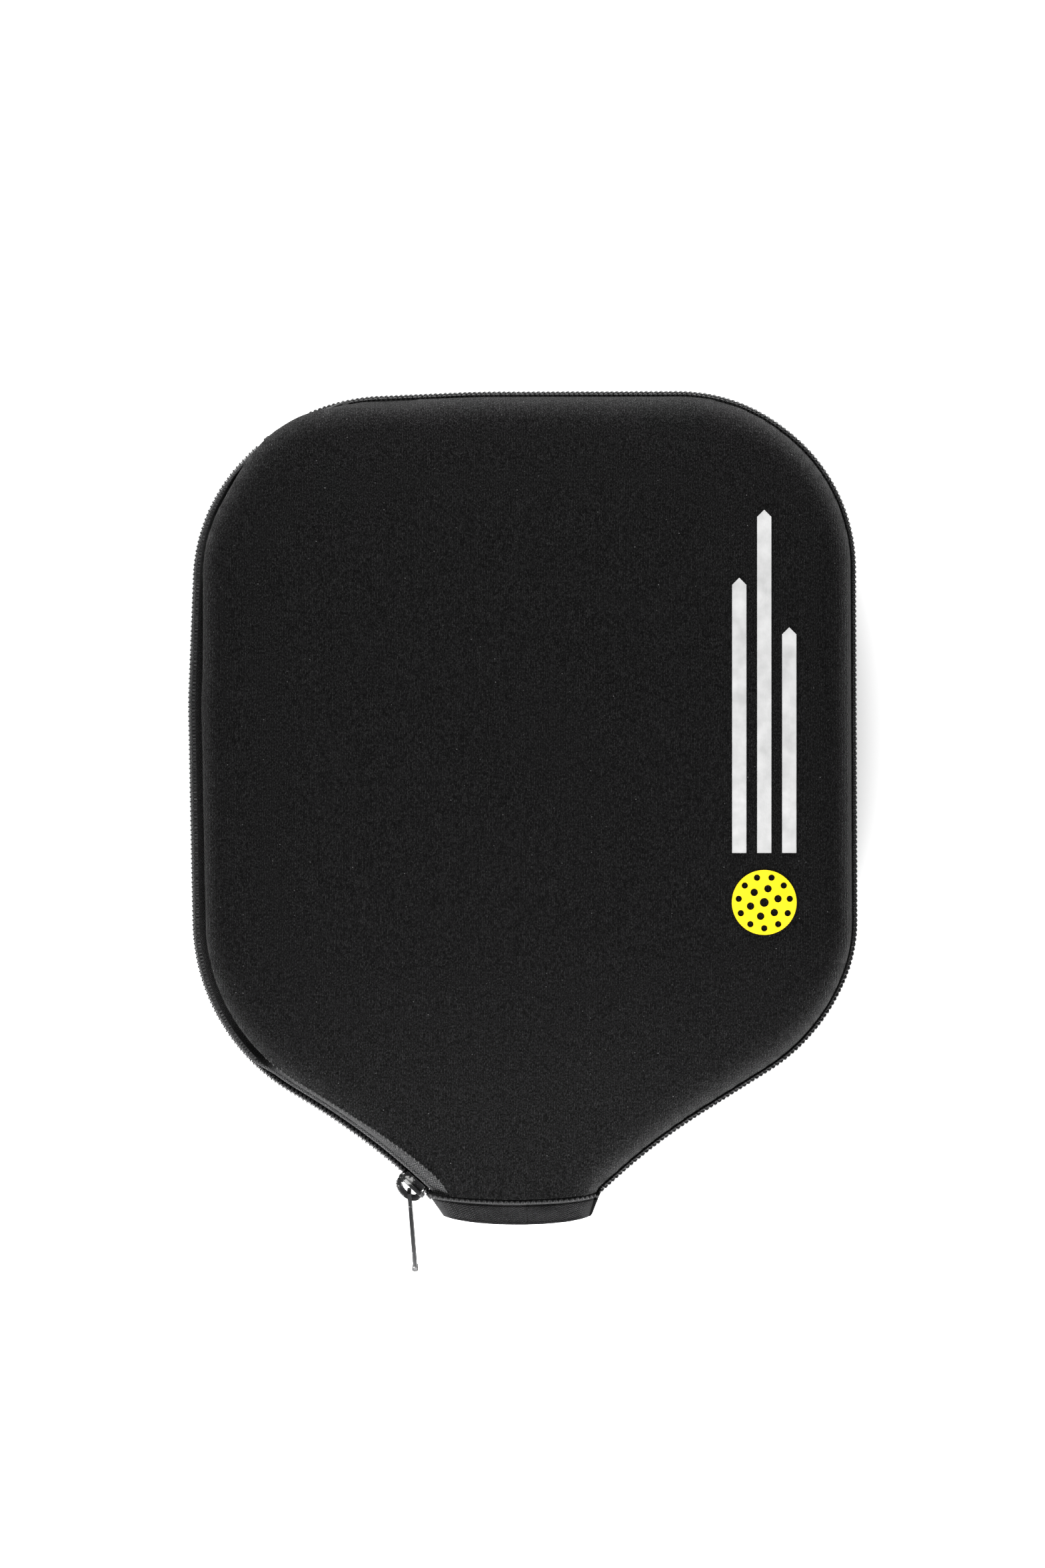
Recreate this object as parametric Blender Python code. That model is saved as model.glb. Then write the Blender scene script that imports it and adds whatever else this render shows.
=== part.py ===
"""Neoprene paddle case with a zip down one long side, lying on its back.

The frame: +X to the right and +Y to the top of the case as its front is seen, +Z out of the front.
The origin is the middle of the flat patch that the case rests on. Lengths are in millimetres
until they are put in a mesh, which is in metres.
"""

import math

import bmesh
import bpy
from mathutils import Matrix, Vector

MM = 0.001

# Outline of the closed case seen from the front, clockwise from the mouth's left side:
# corner points with the radius that rounds each one. The first and last lie below the mouth.
OUTLINE = [
    (-18.0, -150.0, 0),
    (-30.9, -127.4, 3),
    (-49.7, -109.6, 229),
    (-107.3, -74.3, 66),
    (-109.4, 34.0, 150),
    (-107.0, 97.3, 58),
    (-72.3, 132.9, 64),
    (-15.0, 135.4, 300),
    (69.5, 135.6, 56),
    (108.6, 106.0, 57),
    (109.2, -48.0, 50),
    (96.6, -76.3, 64),
    (44.0, -109.4, 200),
    (25.4, -126.2, 3),
    (16.0, -150.0, 0),
]
TRACK_CORNER = 2  # the OUTLINE corner whose arc the slider runs on
OUTLINE_STEP = 7.0

# Case body
MID_HEIGHT = 12.0  # height of the seam and of the zip's middle above the table
FRONT_CROWN = 12.5  # front face above the seam
REAR_DEPTH = 12.0  # rear face below the seam
MOUTH_HALF = 8.4  # either face from the seam, at the mouth
MOUTH_Y = -125.9
MOUTH_SAG = 1.7
MOUTH_MIDDLE_X = -2.5
MOUTH_HALF_WIDTH = 27.0
MOUTH_TAPER = 85.0
MOUTH_BLEND = 14.0  # how far up the panels the sag of their cut edge reaches
NEOPRENE = 3.0
GAP = 0.3
FRONT_ROUND, REAR_ROUND = 9.0, 13.0  # how far in from its edge each face's rounded border reaches
CROWN_SHARE, CROWN_REACH = 0.26, 55.0  # share of the front's height that its broad crown makes
PANEL_RINGS = (0.0, 0.5, 1.8, 4.0, 8.0)  # rows of points in from a panel's edge
PANEL_GRID = 24.0
SIZE = 156.0  # further than any point of the case is from the origin, along X or Y

# How far the panels' edges stand in from the outline, and off the seam's height
SEAM_INSET, SEAM_RISE = 1.8, 0.8
ZIP_INSET, ZIP_RISE = 4.8, 5.8
ZIP_INSET_AT_MOUTH, ZIP_RISE_AT_MOUTH = 7.0, 8.2
INSET_TAPER, RISE_TAPER = 48.0, 90.0  # how far along the zip the mouth's values fade
ZIP_LENGTH = 300.0
ZIP_TOP_INSET = 0.5
TOP_TAPER = 85.0  # the zip narrows over this much of its top end
SEAM_INSET_TAPER, SEAM_RISE_TAPER = 18.0, 32.0

# Zip
TAPE = 0.6
TAPE_INSET = 2.8
TAPE_NEAR, TAPE_TURN = 0.9, 4.5
TAPE_TUCK = 4.0
TAPE_END, COIL_END = 9.0, 12.0  # short of the zip's top end
COIL_OUT, COIL_IN = 0.1, 2.2
COIL_NEAR, COIL_FAR = 0.9, 2.9
STOP_LENGTH = 2.4

# Slider, in its own frame: along the zip, out of the case, and up
SLIDER_TURN = 1.15  # degrees from the start of the arc that it runs on
SLIDER_HALF = 5.2
SLIDER_WIDE, SLIDER_NARROW = 4.4, 3.7
SLIDER_PLATE = 1.2
SLIDER_TOP, SLIDER_UNDER = 0.4, 3.5  # outer plate's face outside, inner plate's face inside
FLANGE = 0.6
FLANGE_REACH = (-3.4, 4.2)  # along the zip
FLANGE_DEPTH = 1.9
POST_HALF = 0.55
POST_REACH = (-3.6, -0.8)  # along the zip
OVERLAP = 0.4  # pieces of the slider run this far into each other
BRIDGE_LONG, BRIDGE_HIGH = 3.9, 2.2  # the bridge's arch, at the middle of its bar
BRIDGE_BAR, BRIDGE_WIDTH = 2.0, 2.6
BRIDGE_LEG = 0.4  # height of the arch's centre over the bridge's feet
PULL_PIVOT = (0.0, SLIDER_TOP + SLIDER_PLATE + GAP + BRIDGE_LEG, 0.0)  # the arch's centre

# Pull
PULL_TURN = 46.5  # degrees from square to the zip, towards the mouth
PULL_DROOP = 9.0
PULL_LENGTH = 27.6
PULL_PLATE = 1.2
PULL_BEAD = 1.9
PULL_WIDTH, PULL_NECK = 8.0, 6.2
BEAD_HALF, BEAD_LENGTH = 2.6, 1.3
EYE_START, EYE_END, EYE_HALF = 0.75, 5.3, 2.0
EYE_RIM = 0.6

# Mouth band
BAND = 1.4
BAND_HEIGHT = 8.0
BAND_SINK = 0.5
BAND_HALF_WIDTH = 26.1
BAND_NARROWING = 0.075

# Print
PRINT = 0.25
PRINT_GRID = 8.0
BALL_SIDES = 28
BALL_CENTRE, BALL_RADIUS = (78.0, -31.0), 10.5
STRIPE_XS, STRIPE_WIDTH = (69.9, 78.0, 86.1), 4.6
STRIPE_LOW, STRIPE_TOPS = -15.0, (74.0, 96.0, 58.0)


def smooth(t):
    """0 to 1, easing in and out."""
    t = min(1.0, max(0.0, t))
    return t * t * (3 - 2 * t)


def rounded(t):
    """The height of a quarter circle, t being the share of its radius in from the edge."""
    t = min(1.0, max(0.0, t))
    return math.sqrt(1 - (1 - t) ** 2)


def arc_at(before, corner, after, radius):
    """Points of the arc that rounds a corner, and its centre."""
    back, ahead = (before - corner).normalized(), (after - corner).normalized()
    opening = back.angle(ahead)
    reach = radius / math.tan(opening / 2)
    centre = corner + (back + ahead).normalized() * (radius / math.sin(opening / 2))
    start = corner + back * reach - centre
    turn = start.angle_signed(corner + ahead * reach - centre)
    steps = max(2, round(abs(turn) * radius / 2))
    points = []
    for i in range(steps + 1):
        points.append(centre + Matrix.Rotation(-turn * i / steps, 2) @ start)
    return points, centre


def outline_stations():
    """(distance along from the mouth's corner, point, inward normal) at even steps round the case."""
    corners = [Vector(c[:2]) for c in OUTLINE]
    line = [corners[0]]
    for i in range(1, len(corners) - 1):
        line += arc_at(corners[i - 1], corners[i], corners[i + 1], OUTLINE[i][2])[0]
    line.append(corners[-1])
    along = [0.0]
    for a, b in zip(line, line[1:]):
        along.append(along[-1] + (b - a).length)
    zero = (corners[1] - corners[0]).length
    count = round(along[-1] / OUTLINE_STEP)
    stations, k = [], 0
    for i in range(count + 1):
        s = along[-1] * i / count
        while along[k + 1] < s and k < len(line) - 2:
            k += 1
        heading = (line[k + 1] - line[k]).normalized()
        point = line[k] + heading * (s - along[k])
        stations.append((s - zero, point, Vector((heading.y, -heading.x))))
    return stations


def edge_inset(s):
    """How far a panel's edge stands in from the outline."""
    if s < ZIP_LENGTH:
        at_mouth = (ZIP_INSET_AT_MOUTH - ZIP_INSET) * (1 - smooth(s / INSET_TAPER))
        at_top = (ZIP_INSET - ZIP_TOP_INSET) * smooth((s - ZIP_LENGTH + TOP_TAPER) / TOP_TAPER)
        return ZIP_INSET + at_mouth - at_top
    return ZIP_TOP_INSET + (SEAM_INSET - ZIP_TOP_INSET) * smooth((s - ZIP_LENGTH) / SEAM_INSET_TAPER)


def edge_rise(s):
    """How far a panel's edge stands off the seam's height."""
    at_mouth = (ZIP_RISE_AT_MOUTH - ZIP_RISE) * (1 - smooth(s / RISE_TAPER))
    at_seam = (SEAM_RISE - ZIP_RISE) * smooth((s - ZIP_LENGTH) / SEAM_RISE_TAPER)
    return ZIP_RISE + at_mouth + at_seam


def panel_edge(stations):
    """(point, inward normal, rise) along a panel's edge."""
    edge = []
    for s, point, normal in stations:
        edge.append((point + normal * edge_inset(s), normal, edge_rise(s)))
    return edge


def nearest_on(edge, x, y):
    """(distance, rise) from a point of the plan to the panel's edge."""
    here = Vector((x, y))
    best = (1e9, 0.0)
    for (a, _, rise_a), (b, _, rise_b) in zip(edge, edge[1:]):
        run = b - a
        t = min(1.0, max(0.0, (here - a).dot(run) / run.length_squared))
        distance = (here - a - run * t).length
        if distance < best[0]:
            best = (distance, rise_a + (rise_b - rise_a) * t)
    return best


def half_thickness(y, body):
    """A face's height over the seam, which tapers to the mouth."""
    return MOUTH_HALF + (body - MOUTH_HALF) * smooth((y - MOUTH_Y) / MOUTH_TAPER)


def front_height(edge, x, y):
    """Height of the front face's outside, a rounded edge under a broad crown."""
    distance, rise = nearest_on(edge, x, y)
    share = (1 - CROWN_SHARE) * rounded(distance / FRONT_ROUND)
    share += CROWN_SHARE * rounded(distance / CROWN_REACH)
    return MID_HEIGHT + rise + (half_thickness(y, FRONT_CROWN) - rise) * share


def rear_height(edge, x, y):
    """Height of the rear face's outside, which lies flat on the table."""
    distance, rise = nearest_on(edge, x, y)
    return MID_HEIGHT - rise - (half_thickness(y, REAR_DEPTH) - rise) * rounded(distance / REAR_ROUND)


def mouth_line(x):
    """Y of the panels' cut edge at the mouth."""
    across = (x - MOUTH_MIDDLE_X) / MOUTH_HALF_WIDTH
    return MOUTH_Y - MOUTH_SAG * max(0.0, 1 - across * across)


def material(name, colour, roughness, metallic=0.0):
    made = bpy.data.materials.new(name)
    made.use_nodes = True
    shader = made.node_tree.nodes["Principled BSDF"]
    shader.inputs["Base Color"].default_value = (*colour, 1.0)
    shader.inputs["Roughness"].default_value = roughness
    shader.inputs["Metallic"].default_value = metallic
    return made


def add_object(name, bm, finish):
    """A node from a bmesh in millimetres."""
    bmesh.ops.scale(bm, vec=(MM, MM, MM), verts=bm.verts)
    mesh = bpy.data.meshes.new(name)
    bm.to_mesh(mesh)
    bm.free()
    mesh.shade_smooth()
    mesh.set_sharp_from_angle(angle=math.radians(40))
    obj = bpy.data.objects.new(name, mesh)
    if finish:
        mesh.materials.append(finish)
    bpy.context.scene.collection.objects.link(obj)
    return obj


def boolean(obj, name, bm, operation):
    """Adds the mesh to an object or cuts it away, as a hidden helper object of this name."""
    helper = add_object(name, bm, None)
    helper.hide_render = True
    helper.display_type = "WIRE"
    step = obj.modifiers.new(name, "BOOLEAN")
    step.operation = operation
    step.object = helper


def axis_at(name, place, parent=None):
    """An empty on a joint's axis, at a place in millimetres."""
    empty = bpy.data.objects.new(name, None)
    bpy.context.scene.collection.objects.link(empty)
    empty.location = place * MM
    if parent:
        hang(empty, parent)
    return empty


def hang(obj, parent):
    """Parents an object to an empty without moving it."""
    bpy.context.view_layer.update()
    obj.parent = parent
    obj.matrix_parent_inverse = parent.matrix_world.inverted()


def grid_cuts(bm, spacing):
    """Cuts the flat face into squares, so that it can take a curved height."""
    for axis in (Vector((1, 0, 0)), Vector((0, 1, 0))):
        at = -SIZE
        while at < SIZE:
            geometry = bm.verts[:] + bm.edges[:] + bm.faces[:]
            bmesh.ops.bisect_plane(bm, geom=geometry, dist=1e-4, plane_co=axis * at, plane_no=axis)
            at += spacing


def panel_mesh(edge, height, facing):
    """One panel's outer skin, cut off at the mouth."""
    bm = bmesh.new()
    rings = []
    for d in PANEL_RINGS:
        rings.append([bm.verts.new((*(point + normal * d), 0)) for point, normal, _ in edge])
    for outer, inner in zip(rings, rings[1:]):
        for i in range(len(edge) - 1):
            bm.faces.new((outer[i], inner[i], inner[i + 1], outer[i + 1]))
    bm.faces.new(rings[-1])
    bmesh.ops.recalc_face_normals(bm, faces=bm.faces)
    if bm.faces[0].normal.z * facing < 0:
        bmesh.ops.reverse_faces(bm, faces=bm.faces)
    grid_cuts(bm, PANEL_GRID)
    geometry = bm.verts[:] + bm.edges[:] + bm.faces[:]
    bmesh.ops.bisect_plane(
        bm, geom=geometry, dist=1e-4, plane_co=(0, MOUTH_Y, 0), plane_no=(0, -1, 0), clear_outer=True
    )
    for vert in bm.verts:
        x, y = vert.co.x, vert.co.y
        vert.co.z = height(edge, x, y)
        vert.co.y += (mouth_line(x) - MOUTH_Y) * (1 - smooth((y - MOUTH_Y) / MOUTH_BLEND))
    bmesh.ops.triangulate(bm, faces=bm.faces)
    return bm


def thicken(obj, thickness, offset):
    """A wall on an open skin, inwards with offset -1 and outwards with 1."""
    step = obj.modifiers.new("wall", "SOLIDIFY")
    step.thickness = thickness * MM
    step.offset = offset


def sweep(name, sections, finish):
    """A solid through matching closed sections, with flat ends."""
    bm = bmesh.new()
    loops = [[bm.verts.new(p) for p in section] for section in sections]
    for first, second in zip(loops, loops[1:]):
        for i in range(len(first)):
            j = (i + 1) % len(first)
            bm.faces.new((first[i], first[j], second[j], second[i]))
    bm.faces.new(loops[0])
    bm.faces.new(loops[-1])
    bmesh.ops.recalc_face_normals(bm, faces=bm.faces)
    return add_object(name, bm, finish)


def beside_zip(station, side, profile):
    """A closed section at a station: profile is (inset, distance off the zip's middle) pairs."""
    _, point, normal = station
    section = []
    for inset, off in profile:
        at = point + normal * inset
        section.append(Vector((at.x, at.y, MID_HEIGHT + side * off)))
    return section


def tape_profile(s):
    """The tape from behind the coil, round its turn, to under the panel's edge."""
    outside, inside = TAPE_INSET - TAPE / 2, TAPE_INSET + TAPE / 2
    upper, lower = TAPE_TURN + TAPE / 2, TAPE_TURN - TAPE / 2
    tucked = edge_inset(s) + TAPE_TUCK
    outer = [(outside, TAPE_NEAR), (outside, upper), (tucked, upper)]
    inner = [(tucked, lower), (inside, lower), (inside, TAPE_NEAR)]
    return outer + inner


def make_stop(name, station, direction, side, profile, metal):
    """A stop crimped on past a coil's end, towards the mouth with direction -1."""
    s, point, normal = station
    heading = Vector((-normal.y, normal.x)) * direction
    ends = []
    for ahead in (GAP, GAP + STOP_LENGTH):
        ends.append(beside_zip((s, point + heading * ahead, normal), side, profile))
    sweep(name, ends, metal)


def make_zip(stations, tape_finish, coil_finish, metal):
    zip_run = [st for st in stations if 1.0 < st[0] < ZIP_LENGTH - TAPE_END]
    coil_run = [st for st in zip_run if st[0] < ZIP_LENGTH - COIL_END]
    coil = [(COIL_OUT, COIL_NEAR), (COIL_IN, COIL_NEAR), (COIL_IN, COIL_FAR), (COIL_OUT, COIL_FAR)]
    for side, name in ((1, "front"), (-1, "rear")):
        tape = [beside_zip(st, side, tape_profile(st[0])) for st in zip_run]
        sweep(f"zipper_tape_{name}", tape, tape_finish)
        sweep(f"zipper_coil_{name}", [beside_zip(st, side, coil) for st in coil_run], coil_finish)
        make_stop(f"zipper_top_stop_{name}", coil_run[0], -1, side, coil, metal)
    across = [(COIL_OUT, -COIL_FAR), (COIL_IN, -COIL_FAR), (COIL_IN, COIL_FAR), (COIL_OUT, COIL_FAR)]
    make_stop("zipper_bottom_stop", coil_run[-1], 1, 1, across, metal)


def make_binding(stations, finish):
    """The overlocked edge that closes the top and right of the case, an oval rope of thread."""
    run = [st for st in stations if ZIP_LENGTH + 6 < st[0] and st[1].y > MOUTH_Y + 2.5]
    oval = []
    for k in range(8):
        turn = 2 * math.pi * k / 8
        oval.append((0.75 - 0.72 * math.cos(turn), 1.7 * math.sin(turn)))
    sweep("seam_binding", [beside_zip(st, 1, oval) for st in run], finish)


def make_band(name, edge, side, height, finish):
    """Half of the elastic band round the mouth, hanging below the panel's cut edge."""
    sections = []
    steps = 26
    for i in range(steps + 1):
        across = -1 + 2 * i / steps
        x = MOUTH_MIDDLE_X + BAND_HALF_WIDTH * math.sin(across * math.pi / 2)
        top = mouth_line(x) - GAP
        rim = height(edge, x, MOUTH_Y)
        lift = (abs(rim - MID_HEIGHT) - BAND_SINK) * rounded(1.04 * (1 - abs(across)) + 0.02)
        lift = max(lift, GAP / 2 + BAND)
        low = top - BAND_HEIGHT
        narrow = 1 - BAND_NARROWING * abs(across)
        sections.append(
            [
                Vector((x, top, MID_HEIGHT + side * lift)),
                Vector((x * narrow, low, MID_HEIGHT + side * lift)),
                Vector((x * narrow, low, MID_HEIGHT + side * (lift - BAND))),
                Vector((x, top, MID_HEIGHT + side * (lift - BAND))),
            ]
        )
    return sweep(name, sections, finish)


def slider_frame():
    """Matrix from the slider's own frame (along, out, up) to the case's, in millimetres.

    The arc's centre is the axis of the slider's travel.
    """
    corners = [Vector(c[:2]) for c in OUTLINE]
    radius = OUTLINE[TRACK_CORNER][2]
    track, centre = arc_at(*corners[TRACK_CORNER - 1 : TRACK_CORNER + 2], radius)
    point = centre + Matrix.Rotation(math.radians(SLIDER_TURN), 2) @ (track[0] - centre)
    out = (centre - point).normalized()
    along = Vector((out.y, -out.x))
    frame = Matrix.Identity(4)
    frame.col[0] = (*along, 0, 0)
    frame.col[1] = (*out, 0, 0)
    frame.col[2] = (0, 0, 1, 0)
    frame.col[3] = (*point, MID_HEIGHT, 1)
    return frame


def block(bm, low, high):
    """A box between two corners, and its new vertices."""
    low, high = Vector(low), Vector(high)
    made = bmesh.ops.create_cube(bm, size=1.0)
    bmesh.ops.scale(bm, vec=high - low, verts=made["verts"])
    bmesh.ops.translate(bm, vec=(low + high) / 2, verts=made["verts"])
    return made["verts"]


def prism(bm, plan, low, high):
    """A plan in the slider's along and up directions, made thick in its out direction."""
    face = bm.faces.new([bm.verts.new((a, low, u)) for a, u in plan])
    raised = bmesh.ops.extrude_face_region(bm, geom=[face])
    tops = [v for v in raised["geom"] if isinstance(v, bmesh.types.BMVert)]
    bmesh.ops.translate(bm, vec=(0, high - low, 0), verts=tops)
    bmesh.ops.recalc_face_normals(bm, faces=bm.faces)


def slider_plan(wide, narrow):
    """The Y-shaped plate: wide shoulders at the mouth's end, narrow at the closed end."""
    half = SLIDER_HALF
    shoulder = [(-half, wide * 0.62), (-half + 1.2, wide), (-0.6, wide)]
    one_side = shoulder + [(half - 1.2, narrow), (half, narrow * 0.7)]
    return one_side + [(a, -u) for a, u in reversed(one_side)]


def make_slider(frame, finish):
    """Outer and inner plates, the flanges that hold the coils, and the post between the plates."""
    pieces = []
    bm = bmesh.new()
    prism(bm, slider_plan(SLIDER_WIDE, SLIDER_NARROW), SLIDER_TOP, SLIDER_TOP + SLIDER_PLATE)
    pieces.append(bm)
    bm = bmesh.new()
    prism(bm, slider_plan(SLIDER_NARROW, SLIDER_NARROW), -SLIDER_UNDER - SLIDER_PLATE, -SLIDER_UNDER)
    pieces.append(bm)
    bm = bmesh.new()
    low, high = -SLIDER_UNDER - OVERLAP, SLIDER_TOP + OVERLAP
    block(bm, (POST_REACH[0], low, -POST_HALF), (POST_REACH[1], high, POST_HALF))
    pieces.append(bm)
    for side in (-1, 1):
        bm = bmesh.new()
        near, far = sorted((side * (COIL_FAR + GAP), side * (COIL_FAR + GAP + FLANGE)))
        block(bm, (FLANGE_REACH[0], -FLANGE_DEPTH, near), (FLANGE_REACH[1], high, far))
        pieces.append(bm)
    for bm in pieces:
        bmesh.ops.transform(bm, matrix=frame, verts=bm.verts)
    body = add_object("slider_body", pieces[0], finish)
    for i, bm in enumerate(pieces[1:]):
        boolean(body, f"slider_piece_{i}", bm, "UNION")
    return body


def make_bridge(frame, finish):
    """The D-shaped bridge that the pull hangs on, standing on the outer plate."""
    foot = SLIDER_TOP + SLIDER_PLATE + GAP
    steps = 14
    line = [(Vector((BRIDGE_LONG, -BRIDGE_LEG)), Vector((1, 0)))]
    for i in range(steps + 1):
        turn = math.pi * i / steps
        middle = Vector((BRIDGE_LONG * math.cos(turn), BRIDGE_HIGH * math.sin(turn)))
        out = Vector((BRIDGE_HIGH * math.cos(turn), BRIDGE_LONG * math.sin(turn))).normalized()
        line.append((middle, out))
    line.append((Vector((-BRIDGE_LONG, -BRIDGE_LEG)), Vector((-1, 0))))
    sections = []
    for middle, out in line:
        section = []
        for across, up in ((1, 1), (1, -1), (-1, -1), (-1, 1)):
            at = middle + out * (across * BRIDGE_BAR / 2)
            section.append(frame @ Vector((at.x, foot + BRIDGE_LEG + at.y, up * BRIDGE_WIDTH / 2)))
        sections.append(section)
    return sweep("slider_bridge", sections, finish)


def make_pull(frame, finish):
    """The flat pull, seen edge on from the front, with its eye round the bridge."""
    bar_at = (BRIDGE_LONG + BRIDGE_HIGH) / 2
    half = PULL_PLATE / 2
    # In the pull's own frame X runs along it from the bridge's middle, Y is across its width.
    outline = [
        (EYE_START - EYE_RIM, -PULL_NECK / 2 + 1.6),
        (EYE_START - EYE_RIM + 0.9, -PULL_NECK / 2),
        (EYE_END + EYE_RIM, -PULL_NECK / 2),
        (EYE_END + 4.5, -PULL_WIDTH / 2 + 0.4),
        (PULL_LENGTH - 2.4, -PULL_WIDTH / 2),
        (PULL_LENGTH - 0.8, -PULL_WIDTH / 2 + 0.8),
        (PULL_LENGTH, -PULL_WIDTH / 2 + 2.4),
    ]
    outline += [(x, -y) for x, y in reversed(outline)]
    bm = bmesh.new()
    plate = bm.faces.new([bm.verts.new((x, y, -half)) for x, y in outline])
    raised = bmesh.ops.extrude_face_region(bm, geom=[plate])
    tops = [v for v in raised["geom"] if isinstance(v, bmesh.types.BMVert)]
    bmesh.ops.translate(bm, vec=(0, 0, PULL_PLATE), verts=tops)
    bmesh.ops.recalc_face_normals(bm, faces=bm.faces)
    hole = bmesh.new()
    block(hole, (EYE_START, -EYE_HALF, -2), (EYE_END, EYE_HALF, 2))
    bead = bmesh.new()
    bead_end = PULL_LENGTH - GAP
    block(bead, (bead_end - BEAD_LENGTH, -BEAD_HALF, -PULL_BEAD / 2), (bead_end, BEAD_HALF, PULL_BEAD / 2))
    # Out of the bridge, then turned towards the mouth about the case's upright, then drooped on the bar.
    place = (
        frame
        @ Matrix.Translation(PULL_PIVOT)
        @ Matrix.Rotation(math.radians(90 + PULL_TURN), 4, "Z")
        @ Matrix.Translation((bar_at, 0, 0))
        @ Matrix.Rotation(math.radians(PULL_DROOP), 4, "Y")
        @ Matrix.Translation((-bar_at, 0, 0))
        @ Matrix.Rotation(math.radians(90), 4, "X")
    )
    for mesh in (bm, hole, bead):
        bmesh.ops.transform(mesh, matrix=place, verts=mesh.verts)
    pull = add_object("pull_tab", bm, finish)
    boolean(pull, "pull_eye", hole, "DIFFERENCE")
    boolean(pull, "pull_end_bead", bead, "UNION")
    return pull


def draped_print(name, plan, edge, finish):
    """A thin print that follows the front face over a plan of points."""
    bm = bmesh.new()
    bm.faces.new([bm.verts.new((x, y, 0)) for x, y in plan])
    grid_cuts(bm, PRINT_GRID)
    bmesh.ops.triangulate(bm, faces=bm.faces)
    for vert in bm.verts:
        vert.co.z = front_height(edge, vert.co.x, vert.co.y) + GAP
    bmesh.ops.recalc_face_normals(bm, faces=bm.faces)
    if bm.faces[0].normal.z < 0:
        bmesh.ops.reverse_faces(bm, faces=bm.faces)
    thicken(add_object(name, bm, finish), PRINT, 1)


def circle(centre, radius, count):
    turns = [2 * math.pi * i / count for i in range(count)]
    return [(centre[0] + radius * math.cos(t), centre[1] + radius * math.sin(t)) for t in turns]


def make_prints(edge, grey, yellow):
    """A ball and three speed lines in heat-transfer film."""
    draped_print("print_ball", circle(BALL_CENTRE, BALL_RADIUS, BALL_SIDES), edge, yellow)
    for name, x, top in zip(("inner", "middle", "outer"), STRIPE_XS, STRIPE_TOPS):
        half = STRIPE_WIDTH / 2
        foot = [(x - half, STRIPE_LOW), (x + half, STRIPE_LOW)]
        plan = foot + [(x + half, top - half), (x, top), (x - half, top - half)]
        draped_print(f"print_stripe_{name}", plan, edge, grey)


def main():
    for obj in list(bpy.data.objects):
        bpy.data.objects.remove(obj)
    neoprene = material("black neoprene", (0.012, 0.012, 0.013), 0.85)
    webbing = material("black webbing", (0.02, 0.02, 0.021), 0.8)
    nylon = material("black nylon", (0.02, 0.02, 0.02), 0.35)
    enamel = material("black enamel", (0.02, 0.02, 0.022), 0.4, 0.6)
    grey = material("grey film", (0.52, 0.52, 0.52), 0.5)
    yellow = material("yellow film", (0.9, 0.65, 0.01), 0.5)

    stations = outline_stations()
    edge = panel_edge(stations)
    rear = add_object("rear_panel", panel_mesh(edge, rear_height, -1), neoprene)
    thicken(rear, NEOPRENE, -1)
    front = add_object("front_panel", panel_mesh(edge, front_height, 1), neoprene)
    thicken(front, NEOPRENE, -1)
    make_band("throat_band_front", edge, 1, front_height, webbing)
    make_band("throat_band_rear", edge, -1, rear_height, webbing)
    make_zip(stations, webbing, nylon, enamel)
    make_binding(stations, webbing)
    frame = slider_frame()
    travel = axis_at("slider_travel_axis", frame @ Vector((0, OUTLINE[TRACK_CORNER][2], 0)))
    swing = axis_at("pull_swing_axis", frame @ Vector(PULL_PIVOT), travel)
    hang(make_slider(frame, enamel), travel)
    hang(make_bridge(frame, enamel), travel)
    hang(make_pull(frame, enamel), swing)
    make_prints(edge, grey, yellow)


main()
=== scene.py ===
import math

import bmesh
import bpy
import numpy as np
from mathutils import Matrix, Vector, noise


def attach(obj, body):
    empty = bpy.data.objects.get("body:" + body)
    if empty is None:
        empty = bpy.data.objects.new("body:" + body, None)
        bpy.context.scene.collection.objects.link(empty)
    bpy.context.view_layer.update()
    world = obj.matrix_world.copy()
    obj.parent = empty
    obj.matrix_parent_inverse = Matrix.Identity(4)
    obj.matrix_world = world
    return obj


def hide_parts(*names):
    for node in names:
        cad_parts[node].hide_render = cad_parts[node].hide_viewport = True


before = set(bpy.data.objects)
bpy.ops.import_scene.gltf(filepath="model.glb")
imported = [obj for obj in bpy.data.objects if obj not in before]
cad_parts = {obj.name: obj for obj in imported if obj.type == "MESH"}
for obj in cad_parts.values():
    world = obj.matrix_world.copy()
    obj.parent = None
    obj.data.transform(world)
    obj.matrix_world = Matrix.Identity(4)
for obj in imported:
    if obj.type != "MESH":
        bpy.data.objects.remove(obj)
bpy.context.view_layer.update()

scene = bpy.context.scene
mm = 0.001  # the sizes below are in millimetres, the meshes in metres
inMillimetres = (1 / mm, 1 / mm, 1 / mm)

# The closed case. Its outline is clockwise from the mouth's left side: corners with their radii.
case = {
    "outline": [
        (-18.0, -150.0, 0), (-30.9, -127.4, 3), (-49.7, -109.6, 229), (-107.3, -74.3, 66),
        (-109.4, 34.0, 150), (-107.0, 97.3, 58), (-72.3, 132.9, 64), (-15.0, 135.4, 300),
        (69.5, 135.6, 56), (108.6, 106.0, 57), (109.2, -48.0, 50), (96.6, -76.3, 64),
        (44.0, -109.4, 200), (25.4, -126.2, 3), (16.0, -150.0, 0),
    ],
    "trackCorner": 2, "arcStep": 0.5, "edgeStep": 2.2,
    "middle": 12.0,  # height of the seam and of the zip's middle
    "crown": 12.5, "depth": 12.0, "mouthHalf": 8.4,
    "mouthTaper": 85.0, "mouthY": -125.9, "mouthSag": 1.7,
    "mouthMiddle": -2.5, "mouthReach": 27.0, "mouthBlend": 14.0,
    "gap": 0.3,
}

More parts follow.
